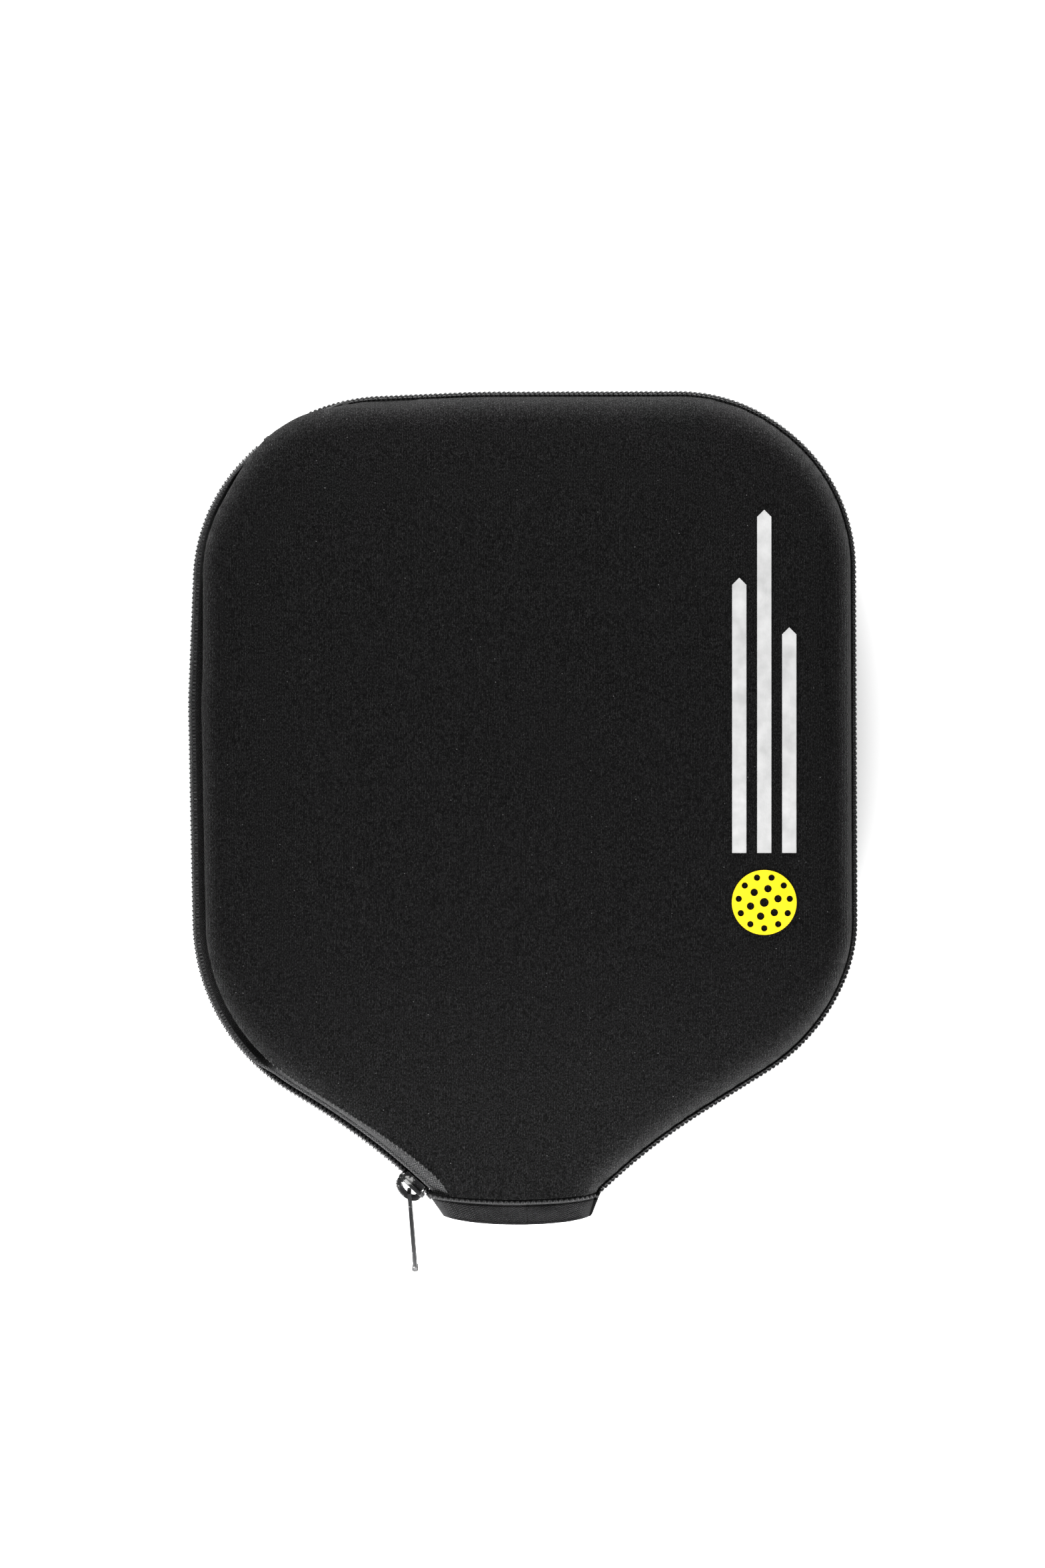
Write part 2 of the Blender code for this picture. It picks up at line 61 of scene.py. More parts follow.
# How far the panels' edges stand in from the outline, and off the seam's height
border = {
    "seamInset": 1.8, "seamRise": 0.8, "zipInset": 4.8,
    "zipRise": 5.8, "mouthInset": 7.0, "mouthRise": 8.2,
    "insetFade": 48.0, "riseFade": 90.0, "zipLength": 300.0,
    "upperInset": 3.4, "upperFrom": 205.0, "upperFade": 45.0,
    "topInset": 0.5, "topFrom": 264.0, "topFade": 30.0,
    "seamInsetFade": 18.0, "seamRiseFade": 32.0,
}


def smooth(t):
    t = min(1.0, max(0.0, t))
    return t * t * (3 - 2 * t)


def mix(a, b, t):
    return a + (b - a) * t


def arcAt(before, corner, after, radius, step):
    back, ahead = (before - corner).normalized(), (after - corner).normalized()
    opening = back.angle(ahead)
    reach = radius / math.tan(opening / 2)
    centre = corner + (back + ahead).normalized() * (radius / math.sin(opening / 2))
    start = corner + back * reach - centre
    turn = start.angle_signed(corner + ahead * reach - centre)
    steps = max(4, round(abs(turn) * radius / step))
    points = [centre + Matrix.Rotation(-turn * i / steps, 2) @ start for i in range(steps + 1)]
    return points, centre


def outlineLine():
    corners = [Vector(c[:2]) for c in case["outline"]]
    line = [corners[0]]
    for i in range(1, len(corners) - 1):
        radius = case["outline"][i][2]
        line += arcAt(corners[i - 1], corners[i], corners[i + 1], radius, case["arcStep"])[0]
    line.append(corners[-1])
    along = [0.0]
    for a, b in zip(line, line[1:]):
        along.append(along[-1] + (b - a).length)
    return line, np.array(along), (corners[1] - corners[0]).length


linePoints, lineAlong, lineZero = outlineLine()
lineX, lineY = (np.array([p[k] for p in linePoints]) for k in (0, 1))
outlineStart, outlineEnd = -lineZero, lineAlong[-1] - lineZero


def placeOn(s):  # the outline's point and inward normal at a distance along from the mouth's corner
    reach = 0.8
    x, y = (np.interp(s + lineZero, lineAlong, line) for line in (lineX, lineY))
    before, after = (
        Vector((np.interp(s + d + lineZero, lineAlong, lineX), np.interp(s + d + lineZero, lineAlong, lineY)))
        for d in (-reach, reach)
    )
    heading = (after - before).normalized()
    return Vector((x, y)), Vector((heading.y, -heading.x))


def edgeInset(s):
    if s < border["zipLength"]:
        atMouth = (border["mouthInset"] - border["zipInset"]) * (1 - smooth(s / border["insetFade"]))
        upper = smooth((s - border["upperFrom"]) / border["upperFade"])
        toTop = smooth((s - border["topFrom"]) / border["topFade"])
        inset = mix(border["zipInset"] + atMouth, border["upperInset"], upper)
        return mix(inset, border["topInset"], toTop)
    past = smooth((s - border["zipLength"]) / border["seamInsetFade"])
    return mix(border["topInset"], border["seamInset"], past)


def edgeRise(s):
    atMouth = (border["mouthRise"] - border["zipRise"]) * (1 - smooth(s / border["riseFade"]))
    past = smooth((s - border["zipLength"]) / border["seamRiseFade"])
    return border["zipRise"] + atMouth + (border["seamRise"] - border["zipRise"]) * past


def pointAt(s, inset, off):  # off is the height over the middle of the seam
    point, inward = placeOn(s)
    return Vector((*(point + inward * inset), case["middle"] + off))


def stepsAlong(start, end, spacing):
    count = max(1, round((end - start) / spacing))
    return [start + (end - start) * i / count for i in range(count + 1)]


edgeStations = stepsAlong(outlineStart, outlineEnd, case["edgeStep"])
edgeLine = np.array([pointAt(s, edgeInset(s), edgeRise(s)) for s in edgeStations])


def toEdge(points):  # distance of each point of the plan from the panel's edge, and the edge's rise there
    best, rise = np.full(len(points), 1e9), np.zeros(len(points))
    for a, b in zip(edgeLine, edgeLine[1:]):
        run = b[:2] - a[:2]
        share = np.clip((points - a[:2]) @ run / (run @ run), 0, 1)
        away = np.linalg.norm(points - a[:2] - share[:, None] * run, axis=1)
        nearer = away < best
        best[nearer] = away[nearer]
        rise[nearer] = mix(a[2], b[2], share)[nearer] - case["middle"]
    return best, rise


def quarterRound(t):
    return np.sqrt(1 - (1 - np.clip(t, 0, 1)) ** 2)


def halfThickness(y, body):
    t = np.clip((y - case["mouthY"]) / case["mouthTaper"], 0, 1)
    return case["mouthHalf"] + (body - case["mouthHalf"]) * t * t * (3 - 2 * t)


def frontHeight(points):
    away, rise = toEdge(points)
    share = (1 - panels["crownShare"]) * quarterRound(away / panels["frontRound"])
    share += panels["crownShare"] * quarterRound(away / panels["crownReach"])
    return case["middle"] + rise + (halfThickness(points[:, 1], case["crown"]) - rise) * share, away


def rearHeight(points):
    away, rise = toEdge(points)
    share = quarterRound(away / panels["rearRound"])
    return case["middle"] - rise - (halfThickness(points[:, 1], case["depth"]) - rise) * share, away


def mouthLine(x):
    across = (x - case["mouthMiddle"]) / case["mouthReach"]
    return case["mouthY"] - case["mouthSag"] * max(0.0, 1 - across * across)


def linked(name, data):
    made = bpy.data.objects.new(name, data)
    scene.collection.objects.link(made)
    return made


def addPiece(name, mesh, finish, stands=(), body="case"):
    made = linked(name, mesh)
    mesh.materials.clear()
    mesh.materials.append(finish)
    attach(made, body)
    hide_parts(*stands)
    return made


def meshFrom(name, bm, sharp=None):
    bmesh.ops.scale(bm, vec=(mm, mm, mm), verts=bm.verts)
    mesh = bpy.data.meshes.new(name)
    bm.to_mesh(mesh)
    bm.free()
    mesh.shade_smooth()
    if sharp:
        mesh.set_sharp_from_angle(angle=math.radians(sharp))
    return mesh


def settle(mesh, steps):  # the mesh with these modifiers applied: (kind, settings) pairs
    carrier = linked("carrier", mesh)
    for kind, settings in steps:
        step = carrier.modifiers.new(kind.lower(), kind)
        for key, value in settings.items():
            setattr(step, key, value)
    view = bpy.context.evaluated_depsgraph_get()
    shaped = carrier.evaluated_get(view)
    made = bpy.data.meshes.new_from_object(shaped, preserve_all_data_layers=True, depsgraph=view)
    made.name = mesh.name
    bpy.data.objects.remove(carrier)
    return made


def curveMesh(name, paths, closed, **settings):
    curve = bpy.data.curves.new(name, "CURVE")
    for key, value in settings.items():
        setattr(curve, key, value)
    for path in paths:
        spline = curve.splines.new("POLY")
        spline.points.add(len(path) - 1)
        spline.use_cyclic_u = closed
        for point, at in zip(spline.points, path):
            point.co = (*at, 1)
    carrier = bpy.data.objects.new(name, curve)
    mesh = bpy.data.meshes.new_from_object(carrier)
    bpy.data.objects.remove(carrier)
    bpy.data.curves.remove(curve)
    return mesh


def addThreads(name, paths, thickness, finish, stands=(), sides=1):
    inMetres = [[Vector(at) * mm for at in path] for path in paths]
    bevel = {"bevel_depth": thickness / 2 * mm, "bevel_resolution": sides, "use_fill_caps": True}
    mesh = curveMesh(name, inMetres, False, dimensions="3D", **bevel)
    mesh.name = name
    mesh.shade_smooth()
    addPiece(name, mesh, finish, stands)


def sweepSections(sections, lays=None):  # extrudes a closed section along; lays says how far along each lies
    bm = bmesh.new()
    lay = bm.verts.layers.float_vector.new("lay")
    cap = bm.faces.new([bm.verts.new(p) for p in sections[0]])
    around = [0.0]
    for a, b in zip(sections[0], sections[0][1:]):
        around.append(around[-1] + (b - a).length)
    for i, section in enumerate(sections):
        if i:
            grown = bmesh.ops.extrude_face_region(bm, geom=[cap])
            cap = next(g for g in grown["geom"] if isinstance(g, bmesh.types.BMFace))
        for vert, place, across in zip(cap.verts, section, around):
            vert.co = place
            vert[lay] = (lays[i] if lays else i, across, 0)
    bmesh.ops.recalc_face_normals(bm, faces=bm.faces)
    return bm


def addNode(tree, kind, **settings):
    made = tree.nodes.new(kind)
    for key, value in settings.items():
        setattr(made, key, value)
    return made


def feed(tree, socket, source):
    if isinstance(source, bpy.types.NodeSocket):
        tree.links.new(source, socket)
    else:
        socket.default_value = source


def feedAll(tree, made, given):
    for name, source in given.items():
        feed(tree, made.inputs[name], source)
    return made.outputs


def sums(tree, operation, *sources, clamp=False):
    made = addNode(tree, "ShaderNodeMath", operation=operation, use_clamp=clamp)
    for socket, source in zip(made.inputs, sources):
        feed(tree, socket, source)
    return made.outputs[0]


def sineOf(tree, turns):
    return sums(tree, "SINE", sums(tree, "MULTIPLY", turns, 2 * math.pi))


def stretched(tree, vector, scale):
    made = addNode(tree, "ShaderNodeVectorMath", operation="MULTIPLY")
    feed(tree, made.inputs[0], vector)
    made.inputs[1].default_value = scale
    return made.outputs[0]


def noiseOf(tree, vector, scale, detail=2.0, roughness=0.5):
    given = {"Vector": vector, "Scale": scale, "Detail": detail, "Roughness": roughness}
    return feedAll(tree, addNode(tree, "ShaderNodeTexNoise"), given)["Fac"]


def remap(tree, value, low, high, toLow=0.0, toHigh=1.0):
    given = {"Value": value, "From Min": low, "From Max": high, "To Min": toLow, "To Max": toHigh}
    return feedAll(tree, addNode(tree, "ShaderNodeMapRange", clamp=True), given)["Result"]


def blendColour(tree, share, a, b):  # a number stands for a grey
    made = addNode(tree, "ShaderNodeMix", data_type="RGBA")
    feed(tree, made.inputs["Factor"], share)
    for name, source in (("A", a), ("B", b)):
        socket = next(s for s in made.inputs if s.name == name and s.type == "RGBA")
        if isinstance(source, float):
            source = (source, source, source)
        feed(tree, socket, (*source, 1) if isinstance(source, tuple) else source)
    return next(s for s in made.outputs if s.type == "RGBA")


def newGroup(name, outputs, **numbers):
    tree = bpy.data.node_groups.new(name, "ShaderNodeTree")
    tree.interface.new_socket("Vector", in_out="INPUT", socket_type="NodeSocketVector")
    for label, value in numbers.items():
        made = tree.interface.new_socket(label, in_out="INPUT", socket_type="NodeSocketFloat")
        made.default_value = value
    for label in outputs:
        tree.interface.new_socket(label, in_out="OUTPUT", socket_type="NodeSocketFloat")
    entry, leave = addNode(tree, "NodeGroupInput"), addNode(tree, "NodeGroupOutput")
    return tree, entry.outputs, leave.inputs


def useGroup(tree, group, **values):
    return feedAll(tree, addNode(tree, "ShaderNodeGroup", node_tree=group), values)


def newFinish(name, **constants):
    made = bpy.data.materials.new(name)
    made.use_nodes = True
    shader = made.node_tree.nodes["Principled BSDF"]
    for label, value in constants.items():
        shader.inputs[label.replace("_", " ")].default_value = value
    return made, made.node_tree, shader


def objectPlace(tree):
    return addNode(tree, "ShaderNodeTexCoord").outputs["Object"]


def layPlace(tree):
    return addNode(tree, "ShaderNodeAttribute", attribute_name="lay").outputs["Vector"]


def bumpTo(tree, shader, height, depth, strength=1.0):
    given = {"Strength": strength, "Distance": depth * mm, "Height": height}
    bumped = feedAll(tree, addNode(tree, "ShaderNodeBump"), given)["Normal"]
    feed(tree, shader.inputs["Normal"], bumped)


# Knitted jersey: wales that run up the case, with a loop's grain along them; the Shade output is the grain's
# tone with painted shade between the wales
def makeKnitGroup():
    tree, given, results = newGroup("knitFace", ["Height", "Shade"], Wale=0.55, Drift=0.9)
    parts = addNode(tree, "ShaderNodeSeparateXYZ")
    scaled = stretched(tree, given["Vector"], inMillimetres)
    tree.links.new(scaled, parts.inputs[0])
    wander = sums(tree, "MULTIPLY", noiseOf(tree, scaled, 0.35, 2.0), given["Drift"])
    turns = sums(tree, "ADD", sums(tree, "DIVIDE", parts.outputs["X"], given["Wale"]), wander)
    wale = sums(tree, "MULTIPLY_ADD", sineOf(tree, turns), 0.5, 0.5)
    loops = noiseOf(tree, stretched(tree, scaled, (2.6, 1.5, 1.5)), 1.0, 2.0, 0.6)
    fine = noiseOf(tree, scaled, 4.2, 1.0)
    grain = remap(tree, sums(tree, "ADD", loops, sums(tree, "MULTIPLY", fine, 0.5)), 0.55, 0.98)
    tree.links.new(sums(tree, "MULTIPLY_ADD", wale, 0.45, grain), results["Height"])
    # painted shade: the colour share is darker where the wale dips, as if shade lay between the wales
    tree.links.new(sums(tree, "MULTIPLY", grain, remap(tree, wale, 0, 1, 0.45, 1.0)), results["Shade"])
    return tree


# Woven strap: little blocks of yarn, one over one, with the rows along the strap; the Shade output is painted
# light and shade, taken from the yarn's height
def makeWeaveGroup():
    tree, given, results = newGroup("wovenYarn", ["Height", "Shade"], Along=0.8, Across=0.7)
    parts = addNode(tree, "ShaderNodeSeparateXYZ")
    jitter = addNode(tree, "ShaderNodeVectorMath", operation="MULTIPLY_ADD")
    colours = addNode(tree, "ShaderNodeTexNoise")
    colours.inputs["Scale"].default_value = 1.3
    tree.links.new(given["Vector"], colours.inputs["Vector"])
    tree.links.new(colours.outputs["Color"], jitter.inputs[0])
    jitter.inputs[1].default_value = (0.8, 0.6, 0)
    tree.links.new(given["Vector"], jitter.inputs[2])
    tree.links.new(jitter.outputs[0], parts.inputs[0])
    waves = []
    for axis, pitch in (("X", given["Along"]), ("Y", given["Across"])):
        waves.append(sineOf(tree, sums(tree, "DIVIDE", parts.outputs[axis], pitch)))
    block = sums(tree, "MULTIPLY", *waves)
    fine = noiseOf(tree, given["Vector"], 2.6, 2.0, 0.6)
    fainter = sums(tree, "MULTIPLY", block, remap(tree, noiseOf(tree, given["Vector"], 0.45), 0.35, 0.65))
    height = sums(tree, "ADD", sums(tree, "MULTIPLY_ADD", fainter, 0.35, 0.15), fine)
    tree.links.new(height, results["Height"])
    # painted shade and highlight: the colour share follows the height, dark in the hollows and light on the
    # raised yarn
    tree.links.new(sums(tree, "POWER", remap(tree, height, 0.35, 0.95), 2.2), results["Shade"])
    return tree


# Bare metal along worn edges and in scattered chips
def makeWearGroup():
    tree, given, results = newGroup("edgeWear", ["Mask"], Edge=0.12, Chips=0.66)
    rounded = addNode(tree, "ShaderNodeBevel", samples=4)
    rounded.inputs["Radius"].default_value = 0.3 * mm
    turned = addNode(tree, "ShaderNodeVectorMath", operation="DOT_PRODUCT")
    tree.links.new(rounded.outputs[0], turned.inputs[0])
    tree.links.new(addNode(tree, "ShaderNodeNewGeometry").outputs["Normal"], turned.inputs[1])
    patches = noiseOf(tree, given["Vector"], 900.0, 3.0, 0.6)
    bent = sums(tree, "SUBTRACT", 1.0, turned.outputs["Value"])
    rubbed = sums(tree, "ADD", bent, sums(tree, "MULTIPLY_ADD", patches, 0.5, -0.25))
    edge = remap(tree, rubbed, given["Edge"], sums(tree, "ADD", given["Edge"], 0.04))
    chips = remap(tree, patches, given["Chips"], sums(tree, "ADD", given["Chips"], 0.04))
    tree.links.new(sums(tree, "MAXIMUM", edge, chips, clamp=True), results["Mask"])
    return tree


# Lint and dust: a few tiny pale specks
def makeLintGroup():
    tree, given, results = newGroup("lintSpecks", ["Mask"], Spacing=2.4, Share=0.3)
    cells = addNode(tree, "ShaderNodeTexVoronoi")
    tree.links.new(given["Vector"], cells.inputs["Vector"])
    tree.links.new(sums(tree, "DIVIDE", 1 / mm, given["Spacing"]), cells.inputs["Scale"])
    speck = remap(tree, cells.outputs["Distance"], 0.03, 0.075, 1.0, 0.0)
    tone = addNode(tree, "ShaderNodeSeparateColor")
    tree.links.new(cells.outputs["Color"], tone.inputs[0])
    chosen = sums(tree, "LESS_THAN", tone.outputs[0], given["Share"])
    bright = remap(tree, tone.outputs[1], 0.0, 1.0, 0.15, 1.0)
    tree.links.new(sums(tree, "MULTIPLY", sums(tree, "MULTIPLY", speck, chosen), bright), results["Mask"])
    return tree


def colourBy(tree, shader, share, low, high):
    feed(tree, shader.inputs["Base Color"], blendColour(tree, share, low, high))


knitFace = makeKnitGroup()
wovenYarn = makeWeaveGroup()
edgeWear = makeWearGroup()
lintSpecks = makeLintGroup()

jersey = {
    "dark": 0.0002, "light": (0.025, 0.025, 0.0254), "speck": 0.16,
    "wale": 0.54,
}


def makeJersey():
    made, tree, shader = newFinish(
        "black jersey", Roughness=0.95, Specular_IOR_Level=0.04, Sheen_Weight=0.09, Sheen_Roughness=0.35
    )
    place = objectPlace(tree)
    knit = useGroup(tree, knitFace, Vector=place, Wale=jersey["wale"])
    lint = useGroup(tree, lintSpecks, Vector=place)
    # the knit's Shade carries painted shade between the wales into the colour
    shade = sums(tree, "POWER", knit["Shade"], 1.8)
    colour = blendColour(tree, shade, jersey["dark"], jersey["light"])
    colourBy(tree, shader, lint["Mask"], colour, jersey["speck"])
    bumpTo(tree, shader, knit["Height"], 0.16, 0.9)
    return made


yarns = {
    "dark": (0.002, 0.002, 0.0021), "tape": (0.062, 0.062, 0.063), "tapePitch": (1.15, 1.0),
    "elastic": (0.055, 0.055, 0.056), "elasticPitch": (0.31, 0.27),
}


def makeTapeCloth():
    made, tree, shader = newFinish(
        "black woven tape", Roughness=0.9, Specular_IOR_Level=0.08, Sheen_Weight=0.05, Sheen_Roughness=0.4
    )
    along, across = yarns["tapePitch"]
    yarn = useGroup(tree, wovenYarn, Vector=layPlace(tree), Along=along, Across=across)
    # the weave's Shade paints shade into the tape's hollows
    colourBy(tree, shader, yarn["Shade"], yarns["dark"], yarns["tape"])
    bumpTo(tree, shader, yarn["Height"], 0.12, 0.8)
    return made


def makeElastic():  # the third part of lay is how high the knitted rows stand, which paints shade on the low rows and light on the high ones
    made, tree, shader = newFinish(
        "black elastic", Roughness=0.85, Specular_IOR_Level=0.1, Sheen_Weight=0.04, Sheen_Roughness=0.4
    )
    place = layPlace(tree)
    parts = addNode(tree, "ShaderNodeSeparateXYZ")
    tree.links.new(place, parts.inputs[0])
    along, across = yarns["elasticPitch"]
    yarn = useGroup(tree, wovenYarn, Vector=place, Along=along, Across=across)
    # painted light and shade: the yarn's colour is darkened on low knitted rows and lightened on high ones
    shade = sums(tree, "MULTIPLY", yarn["Shade"], remap(tree, parts.outputs["Z"], 0.1, 0.95, 0.1, 1.5))
    colourBy(tree, shader, shade, yarns["dark"], yarns["elastic"])
    bumpTo(tree, shader, yarn["Height"], 0.05, 0.6)
    return made


def makeThread(name, low, high, roughness):
    made, tree, shader = newFinish(name, Roughness=roughness, Specular_IOR_Level=0.2, Sheen_Weight=0.05)
    place = stretched(tree, objectPlace(tree), inMillimetres)
    ply = noiseOf(tree, place, 2.4, 2.0, 0.6)
    colourBy(tree, shader, remap(tree, ply, 0.45, 0.68), low, high)
    bumpTo(tree, shader, ply, 0.05, 0.7)
    return made


def makeNylon():
    made, tree, shader = newFinish("black nylon coil", Specular_IOR_Level=0.4)
    shade = noiseOf(tree, objectPlace(tree), 700.0, 2.0)
    colourBy(tree, shader, shade, 0.004, (0.016, 0.016, 0.017))
    feed(tree, shader.inputs["Roughness"], remap(tree, shade, 0.3, 0.7, 0.18, 0.3))
    return made


metal = {
    "enamel": (0.005, 0.005, 0.0055), "zinc": (0.5, 0.5, 0.49), "dull": 0.1,
    "patchReach": 1.6, "patchRagged": 5.0,
}


def makeEnamel(name, edge, patchAt=None):
    made, tree, shader = newFinish(name, Specular_IOR_Level=0.2)
    place = objectPlace(tree)
    mask = useGroup(tree, edgeWear, Vector=place, Edge=edge)["Mask"]
    fine = noiseOf(tree, place, 2600.0, 3.0, 0.65)
    if patchAt:
        away = addNode(tree, "ShaderNodeVectorMath", operation="DISTANCE")
        feed(tree, away.inputs[0], place)
        away.inputs[1].default_value = patchAt
        coarse = noiseOf(tree, place, 1100.0, 3.0, 0.7)
        spread = metal["patchRagged"] * mm
        strayed = sums(tree, "MULTIPLY_ADD", coarse, spread, -spread / 2)
        ragged = sums(tree, "ADD", away.outputs["Value"], strayed)
        reach = metal["patchReach"] * mm
        mask = sums(tree, "MAXIMUM", mask, remap(tree, ragged, reach * 0.8, reach * 1.05, 1.0, 0.0))
    zinc = blendColour(tree, fine, metal["dull"], metal["zinc"])
    colourBy(tree, shader, mask, metal["enamel"], zinc)
    feed(tree, shader.inputs["Metallic"], sums(tree, "MULTIPLY", mask, 0.35))
    feed(tree, shader.inputs["Roughness"], remap(tree, fine, 0.25, 0.75, 0.42, 0.65))
    bumpTo(tree, shader, fine, 0.03, 0.4)
    return made


def makeFilm(name, low, high):
    made, tree, shader = newFinish(name, Specular_IOR_Level=0.35)
    place = objectPlace(tree)
    knit = useGroup(tree, knitFace, Vector=place, Wale=jersey["wale"])
    patchy = noiseOf(tree, place, 160.0, 3.0, 0.6)
    colourBy(tree, shader, remap(tree, patchy, 0.3, 0.7), low, high)
    feed(tree, shader.inputs["Roughness"], remap(tree, patchy, 0.3, 0.7, 0.42, 0.6))
    bumpTo(tree, shader, knit["Height"], 0.04, 0.3)
    return made


blackJersey = makeJersey()
wovenTape = makeTapeCloth()
elasticKnit = makeElastic()
blackThread = makeThread("black overlock thread", 0.002, (0.045, 0.045, 0.046), 0.45)
darkThread = makeThread("black sewing thread", 0.002, 0.022, 0.7)
coreCloth = makeThread("dark jersey edge", 0.002, 0.008, 0.9)
coilNylon = makeNylon()
print("finishes made")

panels = {
    "wall": 2.8, "frontRound": 9.0, "rearRound": 13.0,
    "crownShare": 0.26, "crownReach": 55.0, "rings": 9,
    "grid": 3.4, "reach": 120.0, "height": 150.0,
    "insetShare": 0.98,
    "cutOver": 12.0,  # faces of a larger area than this are cut by the grid
    "sink": 0.1,
    "wave": 0.28,  # slow waves of the foam
    "waveLong": (42.0, 50.0), "waveFade": 14.0,
    "pucker": 0.07,  # little pulls of the stitches at the edge
    "puckerPitch": 9.0,
}


def foamWave(x, y, inset, side):
    long, tall = panels["waveLong"]
    slow = noise.noise(Vector((x / long, y / tall, side * 3.0)))
    return panels["wave"] * slow * smooth(inset / panels["waveFade"])


def makePanel(name, side, heightOf, roundReach, node):
    bm = bmesh.new()
    face = bm.faces.new([bm.verts.new((x, y, 0)) for x, y, _ in edgeLine])
    face.normal_update()
    if face.normal.z < 0:
        face.normal_flip()
    reached = 0.0
    for i in range(1, panels["rings"] + 1):
        reach = roundReach * (1 - math.cos(math.pi / 2 * i / panels["rings"])) * panels["insetShare"]
        bmesh.ops.inset_region(bm, faces=[face], thickness=reach - reached, use_even_offset=True)
        reached = reach
    for axis, limit in ((Vector((1, 0, 0)), panels["reach"]), (Vector((0, 1, 0)), panels["height"])):
        for i in range(-round(limit / panels["grid"]), round(limit / panels["grid"]) + 1):
            inner = [f for f in bm.faces if f.calc_area() > panels["cutOver"]]
            geometry = list({v for f in inner for v in f.verts} | {e for f in inner for e in f.edges}) + inner
            at = axis * (i * panels["grid"])
            bmesh.ops.bisect_plane(bm, geom=geometry, dist=1e-4, plane_co=at, plane_no=axis)
    bmesh.ops.bisect_plane(
        bm,
        geom=bm.verts[:] + bm.edges[:] + bm.faces[:],
        dist=1e-4,
        plane_co=(0, case["mouthY"], 0),
        plane_no=(0, -1, 0),
        clear_outer=True,
    )
    bmesh.ops.triangulate(bm, faces=[f for f in bm.faces if len(f.verts) > 4])
    heights, away = heightOf(np.array([v.co[:2] for v in bm.verts]))
    for vert, height, inset in zip(bm.verts, heights, away):
        x, y = vert.co.x, vert.co.y
        wave = foamWave(x, y, inset, side)
        pull = math.sin(2 * math.pi * (x - 1.3 * y) / panels["puckerPitch"]) * math.exp(-abs(inset - 3) / 3)
        vert.co.z = height + (wave + panels["pucker"] * pull - panels["sink"]) * side
        vert.co.y += (mouthLine(x) - case["mouthY"]) * (1 - smooth((y - case["mouthY"]) / case["mouthBlend"]))
    if side < 0:
        bmesh.ops.reverse_faces(bm, faces=bm.faces)
    mesh = meshFrom(name, bm)
    wall = ("SOLIDIFY", {"thickness": panels["wall"] * mm, "offset": -1.0})
    made = addPiece(name, settle(mesh, [wall]), blackJersey, [node])
    made.data.set_sharp_from_angle(angle=math.radians(50))


makePanel("frontPanel", 1, frontHeight, panels["frontRound"], "front_panel")
makePanel("rearPanel", -1, rearHeight, panels["rearRound"], "rear_panel")
print("panels made")

zipper = {
    "start": -5.5,
    "straight": 2.0,  # below this the tapes run straight on, under the band
    "end": 291.0, "tape": 0.6, "turnInset": 2.8,
    "turnInsetOver": 1.35,  # past the slider's travel the tape folds out over the coil
    "foot": 0.9, "footOver": 3.3, "turnOff": 4.5,
    "turnRound": 0.8, "turnRoundOver": 0.5, "tuck": 4.0,
    "sunkOff": 2.3, "under": 1.0, "shelf": 2.7,
    "overFrom": 52.0, "overFade": 22.0, "coilStart": 1.5,
    "coilEnd": 287.0, "pitch": 1.545, "filament": 0.9,
    "out": 0.05, "in": 2.3, "far": 2.9,
    "near": 0.62, "nearMeshed": -0.3, "core": 0.8,
    "coreReach": (-3.0, 288.0), "corner": 0.26, "tapeStep": 1.2, "coreStep": 2.0,
}


def overShare(s):
    return (s - zipper["overFrom"]) / zipper["overFade"]


def tapePoint(s, inset, off):
    kept = max(s, zipper["straight"])
    point, inward = placeOn(kept)
    heading = Vector((-inward.y, inward.x))
    return Vector((*(point + inward * inset + heading * (s - kept)), case["middle"] + off))


def tapeEnd(s):  # its height where it meets the panel: level with the edge at the mouth, then in a groove
    return mix(edgeRise(s) - zipper["under"], zipper["sunkOff"], smooth(2 * overShare(s) - 1))


def tapeProfile(s):
    half = zipper["tape"] / 2
    foot = mix(zipper["foot"], zipper["footOver"], smooth(2 * overShare(s)))
    turnInset = mix(zipper["turnInset"], zipper["turnInsetOver"], smooth(2 * overShare(s) - 1))
    turnRound = mix(zipper["turnRound"], zipper["turnRoundOver"], smooth(2 * overShare(s) - 1))
    off, tucked = zipper["turnOff"], edgeInset(s) + zipper["tuck"]
    outer = [(turnInset - half, foot)]
    inner = [(turnInset + half, foot)]
    for i in range(6):
        turn = math.pi / 2 * i / 5
        for side, away in ((outer, turnRound + half), (inner, turnRound - half)):
            centre = (turnInset + turnRound, off - turnRound)
            side.append((centre[0] - away * math.cos(turn), centre[1] + away * math.sin(turn)))
    sunk = tapeEnd(s)
    shelf = max(turnInset + turnRound + 0.1, min(zipper["shelf"], edgeInset(s) - 1.0))
    edge = max(edgeInset(s) - 0.1, shelf + 0.4)
    for inset, low in ((shelf, 0.0), (mix(shelf, edge, 0.5), 0.6), (edge, 1.0), (tucked, 1.0)):
        outer.append((inset, mix(off, sunk, low) + half))
        inner.append((inset, mix(off, sunk, low) - half))
    return outer + inner[::-1]


def coilPath(side, shift):
    half = zipper["filament"] / 2
    path = []
    turns = int((zipper["coilEnd"] - zipper["coilStart"]) / zipper["pitch"])
    for i in range(turns):
        s = zipper["coilStart"] + (i + shift) * zipper["pitch"]
        near = mix(zipper["near"], zipper["nearMeshed"], smooth(overShare(s))) + half
        far, out, into = zipper["far"] - half, zipper["out"] + half, zipper["in"] - half
        corner = zipper["corner"]
        around = [
            (out, near + corner, 0.0), (out, far - corner, 0.0),
            (out + corner, far, 0.05), (into - corner, far, 0.15),
            (into, far - corner, 0.3), (into, near + corner, 0.7),
            (into - corner, near, 0.85), (out + corner, near, 0.95),
        ]
        path += [pointAt(s + ahead * zipper["pitch"], inset, side * off) for inset, off, ahead in around]
    return path


